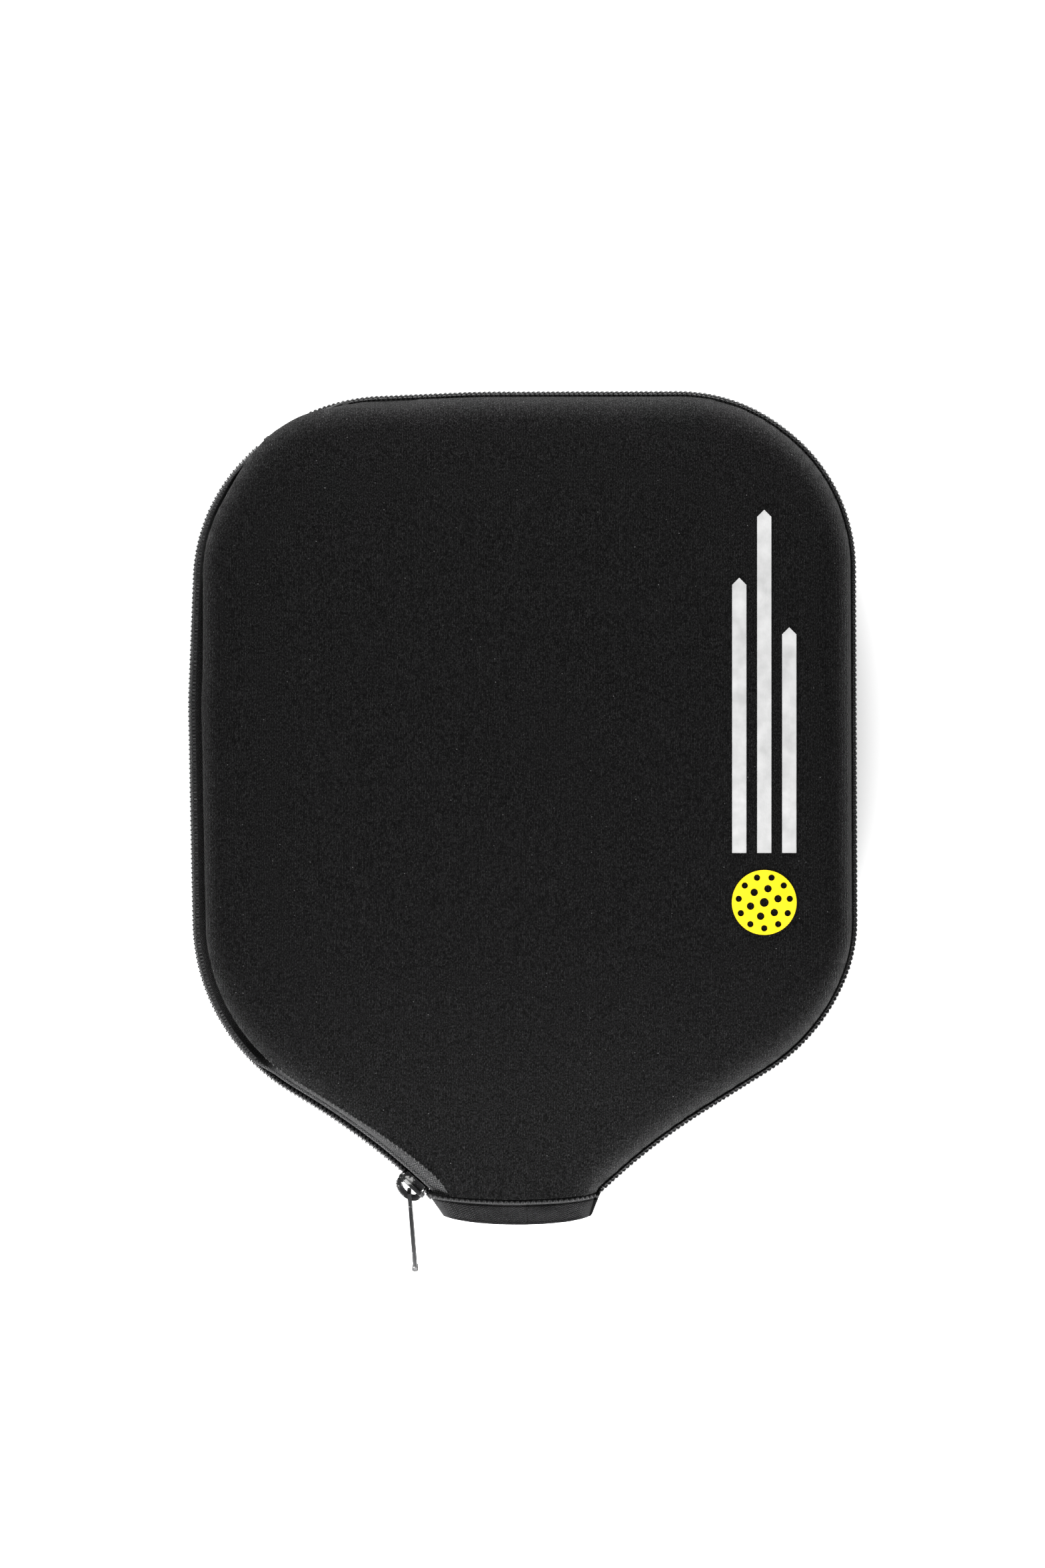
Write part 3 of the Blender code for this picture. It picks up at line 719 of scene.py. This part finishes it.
for side, name in ((1, "front"), (-1, "rear")):
    along = stepsAlong(zipper["start"], zipper["end"], zipper["tapeStep"])
    sections = [[tapePoint(s, inset, side * off) for inset, off in tapeProfile(s)] for s in along]
    tape = meshFrom(f"{name}Tape", sweepSections(sections, along), 50)
    addPiece(f"{name}Tape", tape, wovenTape, [f"zipper_tape_{name}"])
    coil = coilPath(side, 0.5 if side > 0 else 0.0)
    stands = [f"zipper_coil_{name}"]
    addThreads(f"{name}Coil", [coil], zipper["filament"], coilNylon, stands)
    middle = ((zipper["out"] + zipper["in"]) / 2, (zipper["near"] + zipper["far"]) / 2)
    steps = stepsAlong(*zipper["coreReach"], zipper["coreStep"])
    core = [tapePoint(s, middle[0], side * middle[1]) for s in steps]
    addThreads(f"{name}CoilCore", [core], zipper["core"], blackThread, sides=2)
print("zip made")

# The thread that sews the panels to the tapes: short strokes over the panel's edge
edgeStitch = {"pitch": 1.7, "thread": 0.32, "from": 1.5, "to": 70.0, "lean": 0.35}


def stitchStroke(s, side):
    inset, rise, lean = edgeInset(s), edgeRise(s), edgeStitch["lean"]
    tapeTop = tapeEnd(s) + zipper["tape"] / 2 - 0.25
    stroke = [
        (s - lean, inset - 0.5, tapeTop),
        (s - lean * 0.4, inset - 0.3, tapeTop + 0.15),
        (s, inset - 0.08, mix(tapeTop, rise, 0.5) + 0.1),
        (s + lean * 0.6, inset + 0.1, rise + 0.75),
        (s + lean, inset + 0.3, rise + 0.85),
    ]
    return [pointAt(at, into, side * off) for at, into, off in stroke]


for side, name in ((1, "front"), (-1, "rear")):
    steps = stepsAlong(edgeStitch["from"], edgeStitch["to"], edgeStitch["pitch"])
    strokes = [stitchStroke(s, side) for s in steps]
    addThreads(f"{name}EdgeStitches", strokes, edgeStitch["thread"], darkThread)

overlock = {
    "start": 305.0, "end": outlineEnd - 27.8, "pitch": 1.6,
    "thread": 0.84, "inset": 0.75, "across": 0.72,
    "high": 1.55, "wander": 0.14,
    "turn": 0.94,
    "lean": 1.35,  # stitches that a loop runs over on its way round
    "chain": (1.1, 1.25, 0.3),  # inset, height and thread of the chain on each face
    "allowance": (0.35, 4.2, 0.72),  # from, to and half the thickness of the two edges under the thread
    "allowanceEnd": outlineEnd - 24.6,
}


def overlockLoop(s, i):
    wide = overlock["across"] - overlock["thread"] / 2 + 0.12
    high = overlock["high"] - overlock["thread"] / 2
    path = []
    for k in range(9):
        turn = math.pi * (-1.0 + 2 * k / 8) * overlock["turn"]
        swell = 1 + overlock["wander"] * noise.noise(Vector((i * 0.9, k * 0.2, 0)))
        inset = overlock["inset"] - wide * swell * math.cos(turn)
        at = s + overlock["pitch"] * overlock["lean"] * k / 8
        path.append(pointAt(at, inset, high * math.sin(turn) * swell))
    return path


def makeOverlock():
    along = stepsAlong(overlock["start"], overlock["end"], overlock["pitch"])
    loops = [overlockLoop(s, i) for i, s in enumerate(along)]
    stands = ["seam_binding"]
    addThreads("overlockLoops", loops, overlock["thread"], blackThread, stands=stands)
    chains = []
    chainInset, chainOff, chainThread = overlock["chain"]
    for side in (-1, 1):
        for lag in (0.0, 0.5):
            chain = []
            for s in along:
                for part in (0.0, 0.25, 0.5, 0.75):
                    swing = math.sin(2 * math.pi * (part + lag))
                    at = s + part * overlock["pitch"]
                    off = chainOff + 0.12 * swing
                    chain.append(pointAt(at, chainInset + 0.22 * swing, side * off))
            chains.append(chain)
    addThreads("overlockChain", chains, chainThread, blackThread)
    steps = stepsAlong(overlock["start"] - 14, overlock["allowanceEnd"], 2.0)
    sections = []
    for s in steps:  # it swells into the wedge that closes the zip's end
        low, high, half = overlock["allowance"]
        low = mix(edgeInset(s) + 0.2, low, smooth((s - overlock["start"]) / 14))
        half = max(half, edgeRise(s) - 1.2)
        rim = [(low, 0.6 * half), (low + 0.5, half), (high, half)]
        rim += [(inset, -off) for inset, off in rim[::-1]]
        sections.append([pointAt(s, inset, off) for inset, off in rim])
    allowance = meshFrom("seamAllowance", sweepSections(sections, steps), 60)
    addPiece("seamAllowance", allowance, coreCloth)


makeOverlock()
print("overlock made")

band = {
    "topEnds": (-31.2, 25.3), "lowEnds": (-26.2, 22.9), "height": 8.0,
    "sink": 0.5, "wall": 1.1, "endLift": 1.25,
    "column": 1.5, "row": 0.62, "relief": 0.3,
    "welt": 1.35, "weltHigh": 0.3, "across": 270,
    "down": 50, "corners": (1.0, 3.2), "samples": 401,
    "stitch": 0.9, "stitchThread": 0.26,
    "stitchDeep": (0.25, 0.7, 1.2),
    "swing": 0.25, "groove": 0.28, "wave": 0.25,
}


def bandAt(across, down=0.0, wall=0.0):  # x at a share across from -1 to 1, and a share down
    low, high = (mix(a, b, down) for a, b in zip(band["topEnds"], band["lowEnds"]))
    return (low + high) / 2 + ((high - low) / 2 - wall) * math.sin(across * math.pi / 2)


def bandLift(x, full):  # height over the seam across the mouth
    low, high = band["topEnds"]
    reach = min(1.0, abs(2 * x - low - high) / (high - low))
    return band["endLift"] + (full - band["endLift"]) * (1 - reach**5) ** 0.45


def bandRelief(length, deep, fromEnd, down, side):  # how far the knit stands out, and the height of its row, which the elastic turns into painted shade on the low rows
    sway = abs(length % band["column"] / band["column"] - 0.5) * 2
    row = math.cos(2 * math.pi * (deep / band["row"] + sway * 1.1))
    valley = math.cos(4 * math.pi * length / band["column"])
    plain = smooth((fromEnd - 5.0) / 3) * smooth((deep - band["welt"] - 0.2) / 0.5)
    plain *= smooth((1 - down) * 10 - 0.4)
    relief = band["relief"] * (row * 0.5 - 0.5 - valley * 0.09) * plain
    relief += band["weltHigh"] * math.sin(math.pi * min(1, deep / band["welt"]))
    relief -= band["groove"] * math.exp(-(((deep - band["welt"] - 0.35) / 0.3) ** 2))
    relief += band["wave"] * noise.noise(Vector((length / 9, deep / 5, side * 2.0))) * smooth(deep / 3)
    # the second value is the row height, kept for painted shade; the plain parts get a fixed value
    return relief, (row * 0.5 + 0.5) * plain + 0.4 * (1 - plain)


def makeBand(name, side, heightOf, node):
    bm = bmesh.new()
    lay = bm.verts.layers.float_vector.new("lay")
    xs = np.linspace(-1, 1, band["samples"])
    tops = np.array([bandAt(a) for a in xs])
    mouth = np.stack([tops, np.full(band["samples"], case["mouthY"])], 1)
    rims = np.abs(heightOf(mouth)[0] - case["middle"])
    lifts = np.array([bandLift(x, rim - band["sink"]) for x, rim in zip(tops, rims)])
    lengths = np.concatenate([[0], np.cumsum(np.hypot(np.diff(tops), np.diff(lifts)))])
    segments = {"x_segments": band["across"], "y_segments": band["down"]}
    for wall in (0.0, band["wall"]):
        for vert in bmesh.ops.create_grid(bm, size=1.0, **segments)["verts"]:
            across, down = vert.co.x, (1 - vert.co.y) / 2
            x, lift, length = bandAt(across), np.interp(across, xs, lifts), np.interp(across, xs, lengths)
            corner, end = band["corners"][across > 0], band["topEnds"][across > 0]
            rounding = 0.8 * corner * (1 - float(quarterRound(abs(x - end) / corner)))
            deep = down * (band["height"] - max(rounding, abs(across) ** 3))
            relief, high = bandRelief(length, deep, min(length, lengths[-1] - length), down, side)
            lift += relief - 0.1 if not wall else -wall
            low = mouthLine(x) - case["gap"] * 0.5 - deep
            vert.co = (bandAt(across, down, wall), low, case["middle"] + side * lift)
            vert[lay] = (length, deep, high)
    bmesh.ops.bridge_loops(bm, edges=[e for e in bm.edges if e.is_boundary])
    bmesh.ops.recalc_face_normals(bm, faces=bm.faces)
    addPiece(name, meshFrom(name, bm, 60), elasticKnit, [node])
    stitches = []
    for i in range(int(lengths[-1] / band["stitch"]) - 3):
        strokes = []
        swing = band["swing"] if i % 2 else -band["swing"]
        for k, deep in enumerate(band["stitchDeep"]):
            length = (i + 1.5) * band["stitch"] + swing * (k - 1)
            across = float(np.interp(length, lengths, xs))
            swell = band["weltHigh"] * math.sin(math.pi * deep / band["welt"])
            lift = float(np.interp(across, xs, lifts)) + swell
            x = bandAt(across)
            strokes.append((x, mouthLine(x) - 0.15 - deep, case["middle"] + side * (lift + 0.02)))
        stitches.append(strokes)
    addThreads(f"{name}Stitches", stitches, band["stitchThread"], blackThread)


makeBand("frontBand", 1, frontHeight, "throat_band_front")
makeBand("rearBand", -1, rearHeight, "throat_band_rear")
print("bands made")

slider = {
    "turn": 1.15, "half": 5.2, "wide": 4.4,
    "narrow": 3.7, "plate": 1.2, "top": 0.4,
    "under": 3.5, "flange": 0.6, "flangeReach": (-3.4, 4.2),
    "flangeDepth": 1.9, "coilFar": 2.9, "postHalf": 0.45,
    "postReach": (-3.6, -0.8), "overlap": 0.4,
    "patch": (1.8, 0.2, 3.6),  # middle of the worn spot
    "bridgeLong": 3.9, "bridgeHigh": 2.2, "bridgeBar": 2.0,
    "bridgeWidth": 2.6, "bridgeLeg": 0.4,
}


def sliderFrame():
    corners = [Vector(c[:2]) for c in case["outline"]]
    at = case["trackCorner"]
    track, centre = arcAt(*corners[at - 1 : at + 2], case["outline"][at][2], 2.0)
    point = centre + Matrix.Rotation(math.radians(slider["turn"]), 2) @ (track[0] - centre)
    out = (centre - point).normalized()
    placed = Matrix.Identity(4)
    placed.col[0] = (out.y, -out.x, 0, 0)
    placed.col[1] = (out.x, out.y, 0, 0)
    placed.col[2] = (0, 0, 1, 0)
    placed.col[3] = (point.x, point.y, case["middle"], 1)
    return placed


onZip = sliderFrame()


def blockIn(bm, low, high):
    low, high = Vector(low), Vector(high)
    verts = bmesh.ops.create_cube(bm, size=1.0)["verts"]
    bmesh.ops.scale(bm, vec=high - low, verts=verts)
    bmesh.ops.translate(bm, vec=(low + high) / 2, verts=verts)
    return verts


def slab(plan, low, high, axes=(0, 2, 1)):  # a plan raised between two heights; axes says where each goes
    def put(a, u, height):
        at = [0.0, 0.0, 0.0]
        at[axes[0]], at[axes[1]], at[axes[2]] = a, u, height
        return at

    bm = bmesh.new()
    face = bm.faces.new([bm.verts.new(put(a, u, low)) for a, u in plan])
    raised = bmesh.ops.extrude_face_region(bm, geom=[face])
    tops = [v for v in raised["geom"] if isinstance(v, bmesh.types.BMVert)]
    bmesh.ops.translate(bm, vec=put(0, 0, high - low), verts=tops)
    bmesh.ops.recalc_face_normals(bm, faces=bm.faces)
    return bm


def sliderPlan(wide, narrow):
    half = slider["half"]
    oneSide = [(-half, wide * 0.62), (-half + 1.2, wide), (-0.6, wide)]
    oneSide += [(half - 1.2, narrow), (half, narrow * 0.7)]
    return oneSide + [(a, -u) for a, u in reversed(oneSide)]


def joined(name, first, others):  # unites or cuts with (operation, bmesh) pairs
    helpers, steps = [], []
    for i, (operation, bm) in enumerate(others):
        helper = linked(f"{name}Helper{i}", meshFrom(f"{name}Helper{i}", bm))
        helpers.append(helper)
        steps.append(("BOOLEAN", {"operation": operation, "object": helper, "solver": "EXACT"}))
    mesh = settle(meshFrom(name, first), steps)
    for helper in helpers:
        bpy.data.objects.remove(helper)
    return mesh


def roundedOff(mesh, width, segments=2, sharp=30):
    rounding = {
        "width": width * mm,
        "segments": segments,
        "limit_method": "ANGLE",
        "angle_limit": math.radians(30),
        "use_clamp_overlap": True,
    }
    made = settle(mesh, [("BEVEL", rounding)])
    made.shade_smooth()
    made.set_sharp_from_angle(angle=math.radians(sharp))
    return made


def makeSlider():
    top, plate, under = slider["top"], slider["plate"], slider["under"]
    outer = slab(sliderPlan(slider["wide"], slider["narrow"]), top, top + plate)
    inner = slab(sliderPlan(slider["narrow"], slider["narrow"]), -under - plate, -under)
    post = bmesh.new()
    low, high = -under - slider["overlap"], top + slider["overlap"]
    half = slider["postHalf"]
    blockIn(post, (slider["postReach"][0], low, -half), (slider["postReach"][1], high, half))
    others = [inner, post]
    for side in (-1, 1):
        flange = bmesh.new()
        clear = slider["coilFar"] + case["gap"]
        near, far = sorted((side * clear, side * (clear + slider["flange"])))
        reach = slider["flangeReach"]
        blockIn(flange, (reach[0], -slider["flangeDepth"], near), (reach[1], high, far))
        others.append(flange)
    for bm in [outer, *others]:
        bmesh.ops.transform(bm, matrix=onZip, verts=bm.verts)
    mesh = joined("sliderBody", outer, [("UNION", bm) for bm in others])
    patch = onZip @ Vector(slider["patch"])
    worn = makeEnamel("worn slider enamel", 0.2, tuple(patch * mm))
    addPiece("sliderBody", roundedOff(mesh, 0.2), worn, ["slider_body"], "slider")


def makeBridge():
    foot = slider["top"] + slider["plate"] - 0.1
    legs = slider["bridgeLeg"] + case["gap"] + 0.1
    long, high, bar = slider["bridgeLong"], slider["bridgeHigh"], slider["bridgeBar"] / 2
    line = [(Vector((long, -legs)), Vector((1, 0)))]
    steps = 28
    for i in range(steps + 1):
        turn = math.pi * i / steps
        out = Vector((high * math.cos(turn), long * math.sin(turn))).normalized()
        line.append((Vector((long * math.cos(turn), high * math.sin(turn))), out))
    line.append((Vector((-long, -legs)), Vector((-1, 0))))
    sections = []
    half = slider["bridgeWidth"] / 2
    for middle, out in line:
        corners = [(1, 1), (1, -1), (-1, -1), (-1, 1)]
        at = [middle + out * (across * bar) for across, _ in corners]
        rows = [(p.x, foot + legs + p.y, up * half) for p, (_, up) in zip(at, corners)]
        sections.append([onZip @ Vector(p) for p in rows])
    mesh = meshFrom("sliderBridge", sweepSections(sections))
    rounded = roundedOff(mesh, 0.45, 3)
    enamel = makeEnamel("bridge enamel", 0.3)
    addPiece("sliderBridge", rounded, enamel, ["slider_bridge"], "slider")


pull = {
    "turn": 46.5, "droop": 9.0, "length": 27.6,
    "plate": 1.2, "bead": 1.9, "beadBevel": 0.35,
    "wide": 8.0, "neck": 6.2, "beadHalf": 2.6,
    "beadLong": 1.3, "eye": (0.75, 5.3), "eyeHalf": 2.0,
    "rim": 0.6, "sunk": 0.22, "sunkReach": (9.0, 24.6),
    "sunkHalf": 2.6,
}


def capsule(low, high, half, count=8):
    points = []
    for centre, start in ((high - half, -90), (low + half, 90)):
        for i in range(count + 1):
            turn = math.radians(start + 180 * i / count)
            points.append((centre + half * math.cos(turn), half * math.sin(turn)))
    return points


def makePull():
    start, eyeEnd = pull["eye"][0] - pull["rim"], pull["eye"][1]
    neck, wide, end = pull["neck"] / 2, pull["wide"] / 2, pull["length"]
    halfPlan = [
        (start, -neck + 1.6), (start + 0.25, -neck + 0.5), (start + 0.9, -neck),
        (eyeEnd + pull["rim"], -neck), (eyeEnd + 2.5, -wide + 0.7), (eyeEnd + 4.5, -wide + 0.4),
        (end - 2.4, -wide), (end - 1.3, -wide + 0.3), (end - 0.5, -wide + 1.1),
        (end, -wide + 2.4),
    ]
    plan = halfPlan + [(x, -y) for x, y in reversed(halfPlan)]
    thick = pull["plate"] / 2
    plate = slab(plan, -thick, thick, axes=(0, 1, 2))
    eyeHole = slab(capsule(*pull["eye"], pull["eyeHalf"] - 0.01), -2, 2, axes=(0, 1, 2))
    bead = bmesh.new()
    beadEnd = end - case["gap"]
    beadLow = (beadEnd - pull["beadLong"], -pull["beadHalf"], -pull["bead"] / 2)
    blockIn(bead, beadLow, (beadEnd, pull["beadHalf"], pull["bead"] / 2))
    edges = {"geom": bead.edges[:], "affect": "EDGES", "profile": 0.5, "material": -1}
    bmesh.ops.bevel(bead, offset=pull["beadBevel"], segments=3, **edges)
    recesses = []
    for side in (-1, 1):
        low, high = sorted((side * (thick - pull["sunk"]), side * (thick + 1)))
        recesses.append(slab(capsule(*pull["sunkReach"], pull["sunkHalf"]), low, high, axes=(0, 1, 2)))
    pivot = slider["top"] + slider["plate"] + case["gap"] + slider["bridgeLeg"]
    barAt = (slider["bridgeLong"] + slider["bridgeHigh"]) / 2
    placed = (
        onZip
        @ Matrix.Translation((0, pivot, 0))
        @ Matrix.Rotation(math.radians(90 + pull["turn"]), 4, "Z")
        @ Matrix.Translation((barAt, 0, 0))
        @ Matrix.Rotation(math.radians(pull["droop"]), 4, "Y")
        @ Matrix.Translation((-barAt, 0, 0))
        @ Matrix.Rotation(math.radians(90), 4, "X")
    )
    for bm in (plate, eyeHole, bead, *recesses):
        bmesh.ops.transform(bm, matrix=placed, verts=bm.verts)
    others = [("DIFFERENCE", cut) for cut in (eyeHole, *recesses)]
    mesh = joined("pullTab", plate, [*others, ("UNION", bead)])
    enamel = makeEnamel("pull enamel", 0.45)
    addPiece("pullTab", roundedOff(mesh, 0.16), enamel, ["pull_tab"], "pull")


stops = {"long": 2.2, "top": 1.3, "bottom": 288.3, "bevel": 0.35, "offs": (0.9, 2.9)}


def makeStop(name, s, side, offs, node):
    ends = sorted((s, s + side * stops["long"]))
    sections = []
    for at in stepsAlong(*ends, 0.6):
        low = [pointAt(at, zipper[inset], offs[0]) for inset in ("out", "in")]
        sections.append(low + [pointAt(at, zipper[inset], offs[1]) for inset in ("in", "out")])
    mesh = meshFrom(name, sweepSections(sections))
    enamel = makeEnamel(f"{name} enamel", 0.3)
    addPiece(name, roundedOff(mesh, stops["bevel"], 3), enamel, [node])


makeSlider()
makeBridge()
makePull()
print("slider and pull made")

film = {
    "thick": 0.12, "over": 0.05, "grid": 1.6, "cuts": 90,
    "ballCentre": (78.0, -31.0), "ballRadius": 10.5, "hole": 1.45,
    "holeRings": ((0, 1), (4.6, 6), (8.35, 11)), "stripeXs": (69.9, 78.0, 86.1), "stripeWide": 4.6,
    "stripeLow": -15.0, "stripeTops": (74.0, 96.0, 58.0),
}


def circlePlan(centre, radius, count):
    turns = [2 * math.pi * i / count for i in range(count)]
    return [(centre[0] + radius * math.cos(t), centre[1] + radius * math.sin(t)) for t in turns]


def drapedFilm(name, outlines, finish, node):
    plans = [[(x, y, 0) for x, y in plan] for plan in outlines]
    flat = curveMesh(name, plans, True, dimensions="2D", fill_mode="BOTH")
    bm = bmesh.new()
    bm.from_mesh(flat)
    bpy.data.meshes.remove(flat)
    bmesh.ops.remove_doubles(bm, verts=bm.verts, dist=1e-4)
    bmesh.ops.dissolve_limit(bm, angle_limit=0.01, verts=bm.verts, edges=bm.edges)
    for axis in (Vector((1, 0, 0)), Vector((0, 1, 0))):
        for i in range(-film["cuts"], film["cuts"] + 1):
            geometry = bm.verts[:] + bm.edges[:] + bm.faces[:]
            at = axis * (i * film["grid"])
            bmesh.ops.bisect_plane(bm, geom=geometry, dist=1e-4, plane_co=at, plane_no=axis)
    bmesh.ops.triangulate(bm, faces=bm.faces)
    heights, away = frontHeight(np.array([v.co[:2] for v in bm.verts]))
    for vert, height, inset in zip(bm.verts, heights, away):
        x, y = vert.co.x, vert.co.y
        vert.co.z = height + foamWave(x, y, inset, 1) - panels["sink"] + film["over"]
    bmesh.ops.recalc_face_normals(bm, faces=bm.faces)
    if sum(f.normal.z for f in bm.faces) < 0:
        bmesh.ops.reverse_faces(bm, faces=bm.faces)
    mesh = meshFrom(name, bm)
    wall = ("SOLIDIFY", {"thickness": film["thick"] * mm, "offset": 1.0})
    made = addPiece(name, settle(mesh, [wall]), finish, [node])
    made.data.set_sharp_from_angle(angle=math.radians(40))


def makePrints():
    yellow = makeFilm("yellow film", (0.72, 0.52, 0.003), (0.80, 0.60, 0.006))
    grey = makeFilm("pale grey film", 0.38, 0.5)
    centre = film["ballCentre"]
    plans = [circlePlan(centre, film["ballRadius"], 72)]
    for ring, count in film["holeRings"]:
        for i in range(count):
            turn = 2 * math.pi * (i + 0.25) / count
            at = (centre[0] + ring * math.cos(turn), centre[1] + ring * math.sin(turn))
            plans.append(circlePlan(at, film["hole"] * (1 - 0.035 * ring), 20))
    drapedFilm("printedBall", plans, yellow, "print_ball")
    for name, x, top in zip(("inner", "middle", "outer"), film["stripeXs"], film["stripeTops"]):
        half, low = film["stripeWide"] / 2, film["stripeLow"]
        plan = [(x - half, low), (x + half, low), (x + half, top - half), (x, top), (x - half, top - half)]
        drapedFilm(f"{name}SpeedLine", [plan], grey, f"print_stripe_{name}")


makePrints()
near, far = stops["offs"]
makeStop("frontTopStop", stops["top"], -1, (near, far), "zipper_top_stop_front")
makeStop("rearTopStop", stops["top"], -1, (-far, -near), "zipper_top_stop_rear")
makeStop("bottomStop", stops["bottom"], 1, (-far, far), "zipper_bottom_stop")
print("prints and stops made")

studio = {
    "view": (-0.2, 7.3), "viewTall": 511.8, "distance": 1300.0,
    "sensor": 36.0, "world": 0.32, "floorHalf": 3000.0,
    "floorDrop": 0.2,
    "lights": [
        ("topSoft", (0.0, 0.62, 0.1), (0.7, 0.15), 20.0),
        ("leftSoft", (-0.75, 0.1, 0.4), (0.3, 0.5), 3.6),
        ("frontSoft", (0.0, -0.42, 0.1), (0.4, 0.12), 10.0),
    ],
}


def makeStudio():
    bm = bmesh.new()
    bmesh.ops.create_grid(bm, x_segments=1, y_segments=1, size=studio["floorHalf"])
    floor = linked("floor", meshFrom("floor", bm))
    floorFinish, _, shader = newFinish("white card", Roughness=0.9, Specular_IOR_Level=0.1)
    shader.inputs["Base Color"].default_value = (0.92, 0.92, 0.92, 1)
    floor.data.materials.append(floorFinish)
    floor.data.transform(Matrix.Translation((0, 0, -studio["floorDrop"] * mm)))
    world = bpy.data.worlds.new("studio")
    world.use_nodes = True
    back = world.node_tree.nodes["Background"]
    back.inputs["Color"].default_value = (1, 1, 1, 1)
    back.inputs["Strength"].default_value = studio["world"]
    scene.world = world
    for name, place, size, power in studio["lights"]:
        data = bpy.data.lights.new(name, "AREA")
        data.shape = "RECTANGLE"
        data.size, data.size_y = size
        data.energy = power
        lamp = linked(name, data)
        lamp.location = place
        lamp.rotation_euler = (-Vector(place)).to_track_quat("-Z", "Y").to_euler()
    data = bpy.data.cameras.new("overhead")
    data.sensor_width = studio["sensor"]
    data.lens = studio["sensor"] * studio["distance"] / studio["viewTall"]
    camera = linked("overhead", data)
    camera.location = Vector((*studio["view"], case["middle"] + studio["distance"])) * mm
    scene.camera = camera
    scene.view_settings.view_transform = "Standard"


makeStudio()
